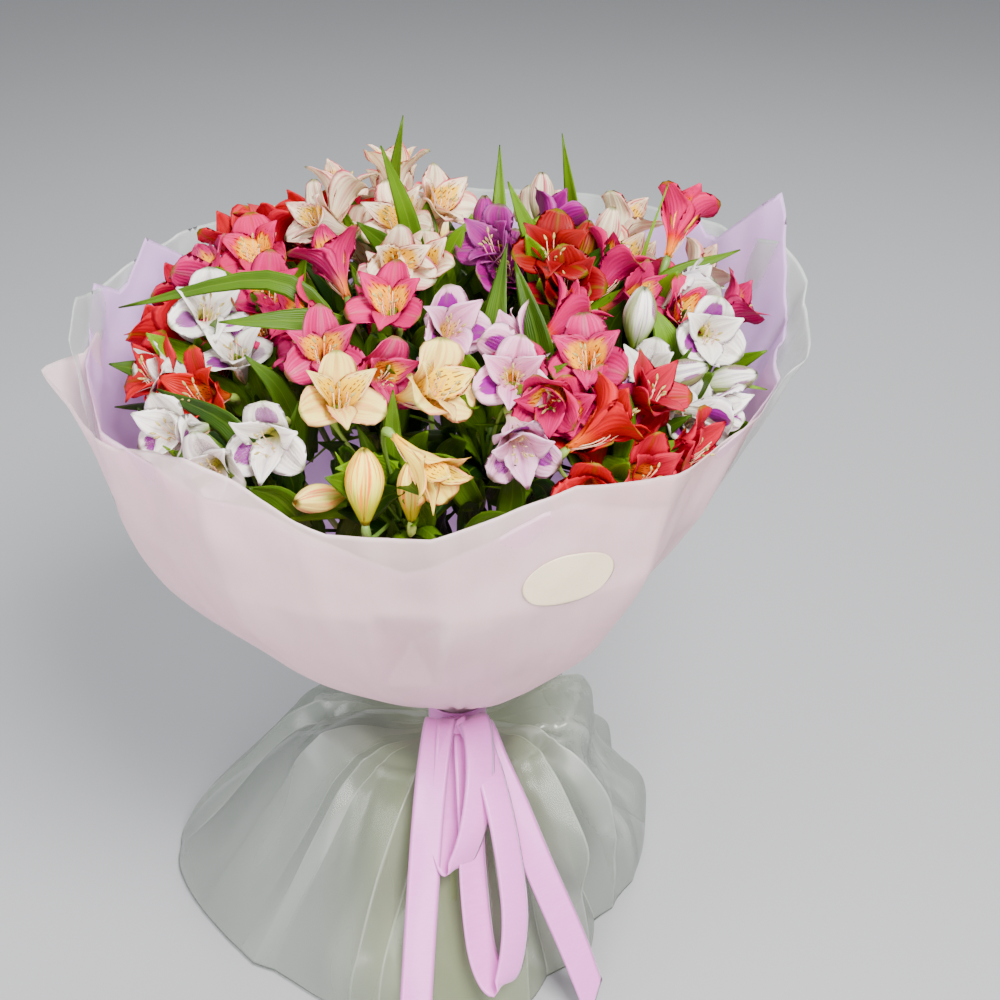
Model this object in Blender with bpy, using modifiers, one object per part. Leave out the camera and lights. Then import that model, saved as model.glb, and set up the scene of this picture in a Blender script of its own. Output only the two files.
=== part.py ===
"""Hand-tied alstroemeria bouquet in pink and frosted film, standing on its cut stems.

Metres, +Z up. The origin is on the surface that the stems stand on, under the middle of
the bundle, and the front of the bouquet faces -Y. Directions round the bouquet are
headings in degrees: 0 is +X, 90 is the back, 180 is the left and 270 is the front.
"""

import math

import bmesh
import bpy
import numpy as np
from mathutils import Vector
from mathutils.bvhtree import BVHTree

CM = 0.01
RING_STEPS = 24
GAP = 0.0003  # between pieces that touch

# Stems and the tie
STEM_RADIUS = 0.0030
WAIST_HEIGHT = 0.183
RING_SPACING = 0.00635  # from one ring of stems to the next, at the waist
INNER_STEMS = 5
FOOT_RADIUS = (0.0, 0.026, 0.050)  # of the centre, inner and outer stems, on the surface
STEM_ROUNDNESS = (2, 2, 1)  # the inner ones touch each other all round
FOOT_HEIGHT = 0.006  # upright part above the level cut
STEM_REACH = (0.05, 0.07, 0.09, 0.10)  # how far the bends reach above and below foot, waist and top
SPIRAL = 55  # degrees that a stem turns from its foot to the waist
LEAN = 0.22  # sideways slope of an outer stem at the waist
TIE_RADIUS = 0.0167
TIE_THICKNESS = 0.0028
TIE_EDGES = (0.178, 0.188)

# Flowers and leaves
FLORET_LENGTH = 0.042
SIZE_TRIES = (1.0, 0.85, 0.7, 0.55, 0.4, 0.3)  # openings that a flower tries until it clears
MOUTH_RADIUS = 0.022
TUBE_RADIUS = 0.006
FLORET_SIDES = 6  # as many as its petals
SWELL_PLACE = 0.45  # share of the length at which the tube is widest
NOTCH_SHARE = 0.55  # radius between two petals, of the radius at their tips
NOTCH_DROP = 0.006
THROAT_DEPTH = 0.35  # share of the length
BUD_BELOW = 0.25  # a flower less open than this is a bud
BUD_TIP = 0.004
PEDICEL_RADIUS = 0.0013
KNOB_RADIUS = 0.0040  # where the pedicels of one spray meet
REACH = 0.085  # from the knob to the middle of the spray's flowers
COLLAR_OUTSIDE = 0.0048
LEAF_THICKNESS = 0.0012
LEAF_SHARES = (0.0, 0.3, 0.65, 1.0)
LEAF_BASE = 0.0044
LEAF_RISE = 0.012  # bow of a blade along its stem
LEAF_BELLY = 0.004  # and outwards
LEAVES_A_SPRAY = 4
COLLAR_HEIGHT = 0.004
COLLAR_DROP = 0.012  # from the top of the stem down to its whorl of leaves
# Tilt, length and width that a leaf tries in turn until it clears its neighbours
WHORL_TRIES = (
    (28, 0.085, 0.016),
    (45, 0.075, 0.016),
    (62, 0.065, 0.016),
    (80, 0.055, 0.016),
    (80, 0.040, 0.010),
)

# Wrapping sheets: the cup that they all follow
FILM = 0.0008
LAYER = FILM + 0.0008
NECK_RADIUS = 0.0199
NECK_BOTTOM = 0.1835
NECK_TOP = 0.195
CUP_BOTTOM = 0.197
RIM_HEIGHT = 0.530
CORNER_DROP = 0.6  # how far each layer turns outwards below the one inside it
STRAIGHT_SHARE = 0.75  # of the way up, from where the wall is straight
RIM_RADIUS = {0: 0.255, 45: 0.275, 90: 0.265, 135: 0.270, 180: 0.272, 225: 0.268, 270: 0.262, 285: 0.259,
              300: 0.250, 315: 0.238, 330: 0.240}
CUP_SWELL = {0: 1.2, 90: 2.2, 180: 2.5, 225: 2.1, 270: 1.7, 300: 2.0, 315: 1.5}
WALL_SHARES = (0.06, 0.18, 0.42, STRAIGHT_SHARE, 0.88)
# Height of each sheet's upper edge, with its folded corners standing up
INNER_EDGE = {0: 0.555, 10: 0.560, 20: 0.600, 30: 0.562, 40: 0.590, 50: 0.556, 60: 0.545, 90: 0.540,
              150: 0.545, 160: 0.566, 170: 0.545, 180: 0.562, 190: 0.540, 220: 0.525, 270: 0.520, 340: 0.540}
FRONT_EDGE = {160: 0.500, 190: 0.530, 200: 0.505, 220: 0.496, 270: 0.494, 310: 0.500, 350: 0.520}
CLEAR_EDGE = {0: 0.560, 90: 0.562, 135: 0.556, 180: 0.545, 240: 0.515, 310: 0.515, 340: 0.535}

# Lower film skirt
# Radius and height from the top of the neck down and out to the shoulder
SKIRT_NECK = ((NECK_RADIUS, 0.183), (NECK_RADIUS, 0.1675), (0.030, 0.166), (0.060, 0.178))
SHOULDER_HEIGHT = 0.180
SHOULDER_RADIUS = {0: 0.100, 90: 0.090, 180: 0.090, 270: 0.070}
HEM_HEIGHT = 0.004
HEM_RADIUS = {0: 0.160, 45: 0.180, 90: 0.200, 135: 0.240, 180: 0.262, 202: 0.238, 225: 0.205, 247: 0.195,
              270: 0.195, 292: 0.175, 315: 0.150, 337: 0.150}
SKIRT_SWELL = {0: 2.2, 90: 1.6, 180: 1.25, 270: 1.6}
SKIRT_SHARES = (0.0, 0.15, 0.4, 0.7, 1.0)

# Satin ribbon
RIBBON_WIDTH = 0.026
RIBBON_THICKNESS = 0.0008
BAND_RADIUS = 0.0243
BAND_EDGES = (0.1695, 0.1925)
KNOT_SIZE = (0.030, 0.014, 0.022)
KNOT_PLACE = (0.0, -0.0312, 0.184)

# Ribbon runs from the knot: centre points in centimetres, and the way across the ribbon
# as a heading at the start and at the end
RIBBON_RUNS = {
    "left_tail": ([
        (-0.6, -3.2, 18.4), (-1.4, -6.5, 19.0), (-2.0, -10.5, 17.2), (-2.5, -14.5, 12.2),
        (-2.9, -18.0, 6.0), (-3.2, -20.6, 1.2),
    ], 0, 5),
    "right_tail": ([
        (0.6, -3.2, 18.6), (2.6, -6.5, 19.4), (4.8, -10.0, 17.2), (7.2, -12.8, 12.2),
        (9.6, -15.2, 6.4), (11.6, -17.2, 1.4),
    ], 10, 30),
    "short_loop": ([
        (0.2, -3.4, 19.1), (0.0, -7.5, 21.2), (-0.2, -11.5, 18.4), (-0.2, -14.2, 13.6),
        (0.2, -13.7, 12.9), (0.4, -11.8, 14.9), (0.6, -8.4, 18.9), (0.4, -3.3, 18.5),
    ], 0, 0),
    "long_loop": ([
        (0.6, -3.6, 19.3), (1.6, -8.2, 21.6), (2.6, -13.0, 17.6), (3.4, -16.8, 10.6),
        (3.8, -19.0, 5.6), (4.2, -18.6, 4.9), (4.2, -17.3, 6.9), (3.4, -14.6, 12.2),
        (2.6, -11.0, 17.4), (1.6, -7.5, 19.0), (0.8, -3.3, 18.4),
    ], 0, 0),
}

# Sticker
STICKER_SIZE = (0.068, 0.048)
STICKER_THICKNESS = 0.0004
STICKER_HEADING = 294.5
STICKER_HEIGHT = 0.448
STICKER_LEAN = 1.12  # length of the wall for its height, where the sticker sits
STICKER_MESH = (3, 18)  # rings and sides

COLOURS = {
    "stem": (0.16, 0.30, 0.08),
    "leaf": (0.12, 0.32, 0.04),
    "tie": (0.55, 0.42, 0.26),
    "scarlet": (0.75, 0.05, 0.03),
    "crimson": (0.42, 0.01, 0.01),
    "rose": (0.68, 0.07, 0.15),
    "peach": (0.95, 0.70, 0.35),
    "blush": (0.90, 0.68, 0.60),
    "white": (0.85, 0.80, 0.84),
    "violet": (0.30, 0.08, 0.42),
    "mauve": (0.66, 0.42, 0.58),
    "film_pink": (0.78, 0.62, 0.70),
    "film_clear": (0.62, 0.66, 0.64),
    "satin": (0.62, 0.36, 0.62),
    "label": (0.80, 0.76, 0.66),
}

# Sprays: a name, a colour, and the flowers as (x, y, z, heading, tilt from upright,
# opening), in centimetres and degrees. Opening runs from 0, a closed bud, to 1.
SPRAYS = [
    ("scarlet_left", "scarlet", [
        (-22, 1, 54, 150, 50, 1), (-21.5, -5, 53, 210, 55, 1), (-17.5, -9, 53.5, 240, 60, 1),
        (-21.5, 8, 54, 160, 60, 0.8),
    ]),
    ("white_left", "white", [
        (-17, -3, 57, 300, 50, 1), (-19.5, -1, 55, 200, 40, 0),
    ]),
    ("white_front", "white", [
        (-18.5, -13.5, 53, 230, 70, 0.8), (-11.5, -17, 54, 260, 80, 1), (-15, -18, 52.5, 260, 75, 0.8),
    ]),
    ("rose_left", "rose", [
        (-19, 5, 57, 150, 50, 1), (-15, 5.5, 58, 250, 40, 1), (-13, -1, 57.5, 280, 45, 0.9),
        (-10.5, -6, 57.5, 200, 60, 0.8),
    ]),
    ("rose_middle", "rose", [
        (-9, 2, 59.5, 120, 50, 1), (-4, -7, 59.5, 260, 40, 1), (-8, -11.5, 58, 280, 50, 1),
        (-4, -12.5, 56.5, 300, 70, 0.7),
    ]),
    ("scarlet_back", "scarlet", [
        (-14, 10, 59, 90, 20, 1), (-18, 13, 56, 130, 50, 0.8), (-12, 16, 57, 110, 50, 1),
        (-8, 21, 54.5, 105, 60, 0.9),
    ]),
    ("blush_left", "blush", [
        (-0.5, 8, 61, 330, 45, 0.9), (-4, 4.5, 61, 250, 45, 1), (-3.5, -1.5, 59.8, 290, 65, 0.8),
    ]),
    ("blush_back", "blush", [
        (-10.5, 6.5, 60, 210, 60, 0.8), (-8.5, 10.5, 61.5, 60, 30, 0.9),
        (-4.5, 12.5, 62.5, 90, 20, 0.8), (-5, 17, 58.5, 100, 50, 0.9), (-1, 21, 55.5, 90, 60, 1),
    ]),
    ("peach_front", "peach", [
        (-6.5, -16, 57, 290, 45, 1), (0, -15.5, 57.5, 330, 60, 1), (1.5, -22, 52.5, 270, 120, 0.8),
        (-5, -21.5, 53, 270, 15, 0.1), (-1.5, -22, 53, 270, 10, 0), (-9, -20.5, 52, 210, 70, 0.2),
    ]),
    ("violet_middle", "violet", [
        (3, 2, 60, 220, 45, 0.8), (2.5, 7, 60.5, 90, 10, 0), (8, 9.5, 59, 50, 50, 0.7),
    ]),
    ("crimson_middle", "crimson", [
        (7.5, -0.5, 60.5, 270, 40, 1), (10, 4, 59.5, 60, 30, 0.1),
    ]),
    ("rose_right", "rose", [
        (12.5, 2, 59, 30, 40, 0.9), (14, -1, 57, 330, 60, 0.7), (17.5, 6, 61, 60, 40, 0.7),
        (21.5, 2, 55, 10, 60, 0.7),
    ]),
    ("cream_back", "blush", [
        (7, 14, 59.5, 90, 20, 0.1), (12, 8, 59, 30, 15, 0.1), (14, 15, 57, 60, 50, 1),
        (7, 19.5, 55.5, 80, 60, 0.9), (20, 11, 54, 30, 60, 0.8),
    ]),
    ("rose_front", "rose", [
        (9, -6, 58.5, 20, 50, 0.8), (9.5, -11.5, 57.5, 260, 45, 1), (7, -15, 56, 250, 90, 0.6),
    ]),
    ("mauve_middle", "mauve", [
        (4, -9.5, 58, 150, 50, 0.8), (0.5, -9, 58.5, 300, 50, 0.8), (4.5, -13.5, 57, 270, 60, 0.8),
        (5, -18.5, 54.5, 280, 95, 0.7),
    ]),
    ("scarlet_right", "scarlet", [
        (11.5, -15.5, 55.5, 20, 60, 1), (13.5, -18.5, 52.5, 300, 70, 0.9),
        (14, -12.5, 55.5, 330, 45, 0.8), (17, -15, 52.5, 340, 70, 0.8), (9.5, -20, 52, 270, 80, 0.7),
    ]),
    ("white_right", "white", [
        (13.5, -5, 58, 0, 5, 0.2), (17.5, 0, 57, 10, 55, 0.3), (18.5, -5, 56, 280, 65, 0.8),
        (16.7, -9, 55, 0, 70, 0.1), (20.5, -7, 53.5, 0, 75, 0.1), (18.5, -11.5, 53.5, 340, 80, 0.4),
    ]),
]

# Long leaves that stand clear of the flowers: the spray they grow on, the tip as
# (x, y, z) in centimetres, and the width.
TALL_LEAVES = [
    ("blush_back", (-2.5, 8.5, 68.0), 0.014),
    ("blush_left", (-6.5, 9.0, 65.5), 0.014),
    ("violet_middle", (4.0, 9.5, 64.5), 0.016),
    ("cream_back", (9.5, 9.0, 66.5), 0.014),
    ("rose_right", (16.5, 8.0, 63.0), 0.006),
    ("scarlet_left", (-22.5, -9.5, 53.5), 0.018),
]


def heading(degrees):
    """Unit vector in the plane for a heading."""
    turn = math.radians(degrees)
    return Vector((math.cos(turn), math.sin(turn), 0.0))


def direction(degrees, tilt):
    """Unit vector tilted from upright towards a heading."""
    lean = math.radians(tilt)
    return heading(degrees) * math.sin(lean) + Vector((0.0, 0.0, math.cos(lean)))


def round_values(table, degrees):
    """Values of a table of heading to number, straight between its entries."""
    keys = sorted(table)
    stops = keys + [keys[0] + 360]
    values = [table[key] for key in keys] + [table[keys[0]]]
    return np.interp(np.asarray(degrees, float) % 360, stops, values)


def make_collection(name):
    collection = bpy.data.collections.new(name)
    bpy.context.scene.collection.children.link(collection)
    return collection


def make_material(name, colour, roughness):
    material = bpy.data.materials.new(name)
    material.use_nodes = True
    shader = material.node_tree.nodes["Principled BSDF"]
    shader.inputs["Base Color"].default_value = (*colour, 1.0)
    shader.inputs["Roughness"].default_value = roughness
    shader.inputs["Metallic"].default_value = 0.0
    return material


def make_object(name, vertices, faces, collection, material=None):
    """An object from points and faces, its closed shapes turned outwards."""
    mesh = bpy.data.meshes.new(name)
    mesh.from_pydata([tuple(v) for v in vertices], [], [tuple(f) for f in faces])
    shape = bmesh.new()
    shape.from_mesh(mesh)
    bmesh.ops.recalc_face_normals(shape, faces=shape.faces)
    shape.to_mesh(mesh)
    shape.free()
    piece = bpy.data.objects.new(name, mesh)
    collection.objects.link(piece)
    if material:
        mesh.materials.append(material)
    return piece


def tree_of(vertices, faces):
    """Search tree of one shape, for finding what it would touch."""
    return BVHTree.FromPolygons([tuple(v) for v in vertices], [tuple(f) for f in faces], epsilon=GAP)


def tree_of_object(piece):
    solid = piece.evaluated_get(bpy.context.evaluated_depsgraph_get())
    mesh = solid.to_mesh()
    points = [piece.matrix_world @ v.co for v in mesh.vertices]
    tree = tree_of(points, [tuple(p.vertices) for p in mesh.polygons])
    solid.to_mesh_clear()
    return tree


def frames_along(path):
    """Two crosswise unit vectors at each point of a path, carried along without twist."""
    points = [Vector(p) for p in path]
    tangents = []
    for index in range(len(points)):
        before = points[max(index - 1, 0)]
        after = points[min(index + 1, len(points) - 1)]
        tangents.append((after - before).normalized())
    side = tangents[0].orthogonal().normalized()
    frames = []
    for tangent in tangents:
        side = (side - tangent * side.dot(tangent)).normalized()
        frames.append((side.copy(), tangent.cross(side)))
    return frames


def ring_points(centre, frame, radii):
    """Points round a centre, one for each radius, evenly spaced."""
    count = len(radii)
    turns = [2 * math.pi * i / count for i in range(count)]
    return [centre + (frame[0] * math.cos(t) + frame[1] * math.sin(t)) * r for t, r in zip(turns, radii)]


def join_shapes(shapes):
    """One list of points and one of faces from several."""
    vertices, faces = [], []
    for points, polygons in shapes:
        start = len(vertices)
        vertices.extend(points)
        faces.extend([tuple(index + start for index in polygon) for polygon in polygons])
    return vertices, faces


def bridge(first, second, count):
    """Quads between two rings of the same count, given by their first indices."""
    return [(first + i, first + (i + 1) % count, second + (i + 1) % count, second + i) for i in range(count)]


# --- flowers ---------------------------------------------------------------------


def floret_shape(knob, mouth, facing, opening):
    """A pedicel and a solid six-pointed trumpet, or a pointed bud where it is closed."""
    sides = FLORET_SIDES
    length = FLORET_LENGTH * (0.75 + 0.25 * opening)
    base = mouth - facing * length
    swell = base + facing * (SWELL_PLACE * length)
    start = knob + (base - knob).normalized() * (KNOB_RADIUS / 2)
    path = [start, base, swell, mouth]
    frames = frames_along(path)
    frames[3] = frames[2]
    rings = ring_points(path[0], frames[0], [PEDICEL_RADIUS] * sides)
    rings += ring_points(path[1], frames[1], [PEDICEL_RADIUS * 1.3] * sides)
    rings += ring_points(path[2], frames[2], [TUBE_RADIUS] * sides)
    faces = [tuple(range(sides))[::-1]] + bridge(0, sides, sides) + bridge(sides, 2 * sides, sides)
    third = 2 * sides
    if opening < BUD_BELOW:
        rings.append(mouth + facing * BUD_TIP)
        tip = len(rings) - 1
        faces += [(third + i, third + (i + 1) % sides, tip) for i in range(sides)]
        return rings, faces
    radius = MOUTH_RADIUS * (0.35 + 0.65 * opening)
    star = []
    for index, point in enumerate(ring_points(mouth, frames[3], [radius, radius * NOTCH_SHARE] * sides)):
        star.append(point if index % 2 == 0 else point - facing * NOTCH_DROP)
    rings += star
    rings.append(mouth - facing * (THROAT_DEPTH * length))
    fourth, middle = 3 * sides, len(rings) - 1
    for i in range(sides):
        this, following = third + i, third + (i + 1) % sides
        tip, notch, next_tip = (fourth + (2 * i + step) % (2 * sides) for step in range(3))
        faces += [(this, notch, tip), (this, following, notch), (following, next_tip, notch)]
        faces += [(tip, notch, middle), (notch, next_tip, middle)]
    return rings, faces


def spray_axis(flowers):
    """Middle of a spray's flowers and the direction that its stem arrives in."""
    middle = Vector([sum(f[i] for f in flowers) / len(flowers) * CM for i in range(3)])
    origin = Vector((0.0, 0.0, WAIST_HEIGHT - 0.05))
    return middle, (middle - origin).normalized()


def knob_place(flowers):
    middle, axis = spray_axis(flowers)
    return middle - axis * REACH


def union_with(piece, vertices, faces, cutters, name):
    """Join loose closed shapes to a piece in one solid."""
    guide = make_object(name, vertices, faces, cutters)
    guide.hide_render = True
    guide.display_type = "WIRE"
    join = piece.modifiers.new("Join", "BOOLEAN")
    join.operation = "UNION"
    join.solver = "EXACT"
    join.use_self = True
    join.object = guide


def make_florets(name, colour, flowers, parts, cutters, materials, placed):
    """One umbel: a knob with a pedicel and a flower for each entry of the spray."""
    knob = knob_place(flowers)
    shapes = []
    for x, y, z, turn, tilt, opening in flowers:
        mouth = Vector((x * CM, y * CM, z * CM))
        facing = direction(turn, tilt)
        for size in SIZE_TRIES:
            shape = floret_shape(knob, mouth, facing, opening * size)
            tree = tree_of(*shape)
            if not any(tree.overlap(other) for other in placed):
                shapes.append(shape)
                break
        else:
            raise ValueError("no room for a flower of " + name)
    ball = bmesh.new()
    bmesh.ops.create_icosphere(ball, subdivisions=1, radius=KNOB_RADIUS)
    bmesh.ops.translate(ball, verts=ball.verts, vec=knob)
    mesh = bpy.data.meshes.new("florets_" + name)
    ball.to_mesh(mesh)
    ball.free()
    mesh.materials.append(materials[colour])
    piece = bpy.data.objects.new("florets_" + name, mesh)
    parts.objects.link(piece)
    vertices, faces = join_shapes(shapes)
    union_with(piece, vertices, faces, cutters, "guide_florets_" + name)
    placed.extend(tree_of(*shape) for shape in shapes)


# --- stems -----------------------------------------------------------------------


def bezier(points, count):
    """Even steps along a cubic curve given by its four points."""
    t = np.linspace(0.0, 1.0, count)[:, None]
    a, b, c, d = (np.array(p) for p in points)
    return (1 - t) ** 3 * a + 3 * (1 - t) ** 2 * t * b + 3 * (1 - t) * t**2 * c + t**3 * d


def waist_slots(sprays):
    """Ring and heading at the waist for each spray: the middle one, then two rings in order."""
    knobs = [(index, knob_place(flowers)) for index, (_, _, flowers) in enumerate(sprays)]
    by_reach = sorted(knobs, key=lambda item: item[1].xy.length)
    groups = [by_reach[:1], by_reach[1 : 1 + INNER_STEMS], by_reach[1 + INNER_STEMS :]]
    slots = {}
    for ring, members in enumerate(groups):
        members.sort(key=lambda item: math.atan2(item[1].y, item[1].x))
        first = math.degrees(math.atan2(members[0][1].y, members[0][1].x))
        for place, (index, _) in enumerate(members):
            slots[index] = (ring, first + 360 * place / len(members) - 60)
    return slots


def stem_path(ring, turn, knob, axis):
    """Foot, spiral to the waist, and a bend outwards to the knob."""
    radius = ring * RING_SPACING
    waist = heading(turn) * radius + Vector((0, 0, WAIST_HEIGHT))
    slope = (Vector((0, 0, 1)) + heading(turn + 90) * LEAN * ring / 2).normalized()
    foot = heading(turn - SPIRAL) * FOOT_RADIUS[ring]
    above_foot = foot + Vector((0, 0, FOOT_HEIGHT))
    rise = Vector((0, 0, STEM_REACH[0]))
    lower = bezier([above_foot, above_foot + rise, waist - slope * STEM_REACH[1], waist], 4)
    top = knob - axis * (KNOB_RADIUS + GAP)
    upper = bezier([waist, waist + slope * STEM_REACH[2], top - axis * STEM_REACH[3], top], 6)
    return [foot] + [Vector(p) for p in lower] + [Vector(p) for p in upper[1:]]


def make_stem(name, path, roundness, parts, material):
    """A round stem along a path, cut square at both ends."""
    curve = bpy.data.curves.new("stem_" + name, "CURVE")
    curve.dimensions = "3D"
    spline = curve.splines.new("POLY")
    spline.points.add(len(path) - 1)
    for point, place in zip(spline.points, path):
        point.co = (*place, 1.0)
    curve.bevel_depth = STEM_RADIUS
    curve.bevel_resolution = roundness
    curve.use_fill_caps = True
    curve.materials.append(material)
    piece = bpy.data.objects.new("stem_" + name, curve)
    parts.objects.link(piece)
    return piece


# --- leaves ----------------------------------------------------------------------


def leaf_shape(base, tip, width, arch):
    """A lens-shaped blade from base to tip, bowed by an arch and widest a third along."""
    span = tip - base
    middle = base + span * 0.5 + arch
    stations = []
    for share in LEAF_SHARES:
        stations.append(base * (1 - share) ** 2 + middle * 2 * share * (1 - share) + tip * share**2)
    widths = (LEAF_BASE / 2, width / 2, width * 0.4)
    vertices = []
    for index, half in enumerate(widths):
        along = (stations[index + 1] - stations[max(index - 1, 0)]).normalized()
        across = along.cross(Vector((0.0, 0.0, 1.0)))
        across = across.normalized() if across.length > 0.05 else Vector((1.0, 0.0, 0.0))
        face = across.cross(along)
        thick = face * (LEAF_THICKNESS / 2)
        centre = stations[index]
        vertices += [centre + across * half, centre + thick, centre - across * half, centre - thick]
    vertices.append(stations[3])
    faces = [(3, 2, 1, 0)] + bridge(0, 4, 4) + bridge(4, 8, 4)
    faces += [(8 + i, 8 + (i + 1) % 4, 12) for i in range(4)]
    return vertices, faces


def collar_shape(centre, axis):
    """A short ring round the stem that the leaves grow from."""
    frame = frames_along([centre, centre + axis])[0]
    sides = 6
    inside = STEM_RADIUS + 2 * GAP
    rings = []
    half = COLLAR_HEIGHT / 2
    for height, radius in ((-half, COLLAR_OUTSIDE), (half, COLLAR_OUTSIDE), (half, inside), (-half, inside)):
        rings += ring_points(centre + axis * height, frame, [radius / math.cos(math.pi / sides)] * sides)
    faces = []
    for index in range(4):
        faces += bridge(index * sides, (index + 1) % 4 * sides, sides)
    return rings, faces


def leaf_from(centre, axis, tip, width):
    """A blade from the collar to a tip, and the same blade started beyond the collar."""
    outward = tip - centre
    outward = (outward - axis * outward.dot(axis)).normalized()
    base = centre + outward * ((COLLAR_OUTSIDE + STEM_RADIUS + 2 * GAP) / 2)
    arch = axis * LEAF_RISE + outward * LEAF_BELLY
    return leaf_shape(base, tip, width, arch), leaf_shape(base + outward * LEAF_BELLY, tip, width, arch)


def collar_place(path):
    axis = (path[-1] - path[-2]).normalized()
    return path[-1] - axis * COLLAR_DROP, axis


def tall_leaves(name, path):
    """Shapes of the long leaves of one spray."""
    centre, axis = collar_place(path)
    shapes = []
    for spray, (x, y, z), width in TALL_LEAVES:
        if spray == name:
            shapes.append(leaf_from(centre, axis, Vector((x * CM, y * CM, z * CM)), width)[0])
    return shapes


def make_leaves(name, path, tall, parts, cutters, material, placed, own_stem):
    """The whorl of one spray: its tall leaves, then others turned until they clear."""
    centre, axis = collar_place(path)
    leaves = list(tall)
    free = []
    first = math.degrees(math.atan2(axis.y, axis.x))
    for turn in range(0, 360, 24):
        if len(leaves) >= LEAVES_A_SPRAY:
            break
        for tilt, length, width in WHORL_TRIES:
            slope = math.tan(math.radians(tilt) / 1.6)
            lean = (axis + heading(first + turn * 4) * slope).normalized()
            shape, beyond = leaf_from(centre, axis, centre + lean * length, width)
            tree, outer = tree_of(*shape), tree_of(*beyond)
            if any(tree.overlap(other) for other in placed) or tree.overlap(own_stem):
                continue
            if any(outer.overlap(other) for other in free):
                continue
            leaves.append(shape)
            free.append(tree)
            break
    if len(leaves) < 2:
        raise ValueError("no room for the leaves of " + name)
    collar = make_object("leaves_" + name, *collar_shape(centre, axis), parts, material)
    vertices, faces = join_shapes(leaves)
    union_with(collar, vertices, faces, cutters, "guide_leaves_" + name)
    placed.extend(free)


# --- sheets ----------------------------------------------------------------------


def around(radius, turns, height):
    """Points at a radius and height for each heading."""
    angle = np.radians(turns)
    return np.stack([radius * np.cos(angle), radius * np.sin(angle), 0 * angle + height], -1)


def cup_surface(turn, share):
    """Neck and swelling wall that the sheets follow; share 0 is the neck, 1 the rim."""
    swell = round_values(CUP_SWELL, turn)
    rim = round_values(RIM_RADIUS, turn)
    curved = NECK_RADIUS + (rim - NECK_RADIUS) * (1 - (1 - np.clip(share, 0, STRAIGHT_SHARE)) ** swell)
    radius = curved + (rim - curved) * np.clip(share - STRAIGHT_SHARE, 0, None) / (1 - STRAIGHT_SHARE)
    return around(radius, turn, CUP_BOTTOM + (RIM_HEIGHT - CUP_BOTTOM) * share)


def skirt_surface(turn, share):
    """Shoulder and slope of the lower film; share 0 is the shoulder, 1 the hem."""
    shoulder = round_values(SHOULDER_RADIUS, turn)
    hem = round_values(HEM_RADIUS, turn)
    swell = round_values(SKIRT_SWELL, turn)
    radius = shoulder + (hem - shoulder) * (1 - (1 - share) ** swell)
    return around(radius, turn, SHOULDER_HEIGHT + (HEM_HEIGHT - SHOULDER_HEIGHT) * share)


def lifted(surface, turn, share, distance):
    """Points of a surface moved off it along its outward normal."""
    step = 1e-4
    along = surface(turn + 0.5, share) - surface(turn - 0.5, share)
    up = surface(turn, share + step) - surface(turn, np.maximum(share - step, 0.0))
    normal = np.cross(along, up)
    normal /= np.linalg.norm(normal, axis=-1, keepdims=True)
    return surface(turn, share) + normal * distance


def sheet_object(name, rows, closed, parts, material):
    """A sheet through rows of points, given its thickness outwards by Solidify."""
    grid = np.array(rows)
    down, round_count = grid.shape[:2]
    vertices = grid.reshape(-1, 3)
    columns = round_count if closed else round_count - 1
    faces = []
    for row in range(down - 1):
        for column in range(columns):
            right = (column + 1) % round_count
            low, high = row * round_count, (row + 1) * round_count
            faces.append((low + column, low + right, high + right))
            faces.append((low + column, high + right, high + column))
    mesh = bpy.data.meshes.new(name)
    mesh.from_pydata(vertices.tolist(), [], faces)
    mesh.materials.append(material)
    piece = bpy.data.objects.new(name, mesh)
    parts.objects.link(piece)
    wall = piece.modifiers.new("Thickness", "SOLIDIFY")
    wall.thickness = FILM
    wall.offset = 1.0
    wall.use_even_offset = True
    return piece


def make_cup_sheet(name, turns, edge, layer, closed, parts, material):
    """One wrapping sheet: a neck, the shared wall, and its own upper edge.

    The edge gives the height of the rim for a heading. Every sheet has a row along the
    edge of the lowest one, so that their walls stay parallel.
    """
    turns = np.array(turns, float)
    lift = layer * LAYER
    rows = []
    for height in (NECK_BOTTOM, NECK_TOP - CORNER_DROP * lift):
        rows.append(around(NECK_RADIUS + lift, turns, height))
    for share in WALL_SHARES:
        rows.append(lifted(cup_surface, turns, 0 * turns + share, lift))
    for table in (FRONT_EDGE,) if edge is FRONT_EDGE else (FRONT_EDGE, edge):
        share = (round_values(table, turns) - CUP_BOTTOM) / (RIM_HEIGHT - CUP_BOTTOM)
        rows.append(lifted(cup_surface, turns, share, lift))
    return sheet_object(name, rows, closed, parts, material)


def make_sheets(parts, materials):
    pink, frosted = materials["film_pink"], materials["film_clear"]
    return (
        make_cup_sheet("pink_sheet_inner", range(0, 360, 10), INNER_EDGE, 0, True, parts, pink),
        make_cup_sheet("pink_sheet_front", range(160, 361, 10), FRONT_EDGE, 1, False, parts, pink),
        make_cup_sheet("frosted_sheet", range(-30, 231, 10), CLEAR_EDGE, 2, False, parts, frosted),
    )


def make_skirt(parts, material):
    """The lower sheet: a gathered neck under the band, a shoulder and a flared skirt."""
    turns = np.arange(0, 360, 10.0)
    rows = [around(radius, turns, height) for radius, height in SKIRT_NECK]
    rows += [skirt_surface(turns, 0 * turns + share) for share in SKIRT_SHARES]
    rows.reverse()
    return sheet_object("skirt_film", rows, True, parts, material)


# --- tie, ribbon and sticker -----------------------------------------------------


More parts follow.
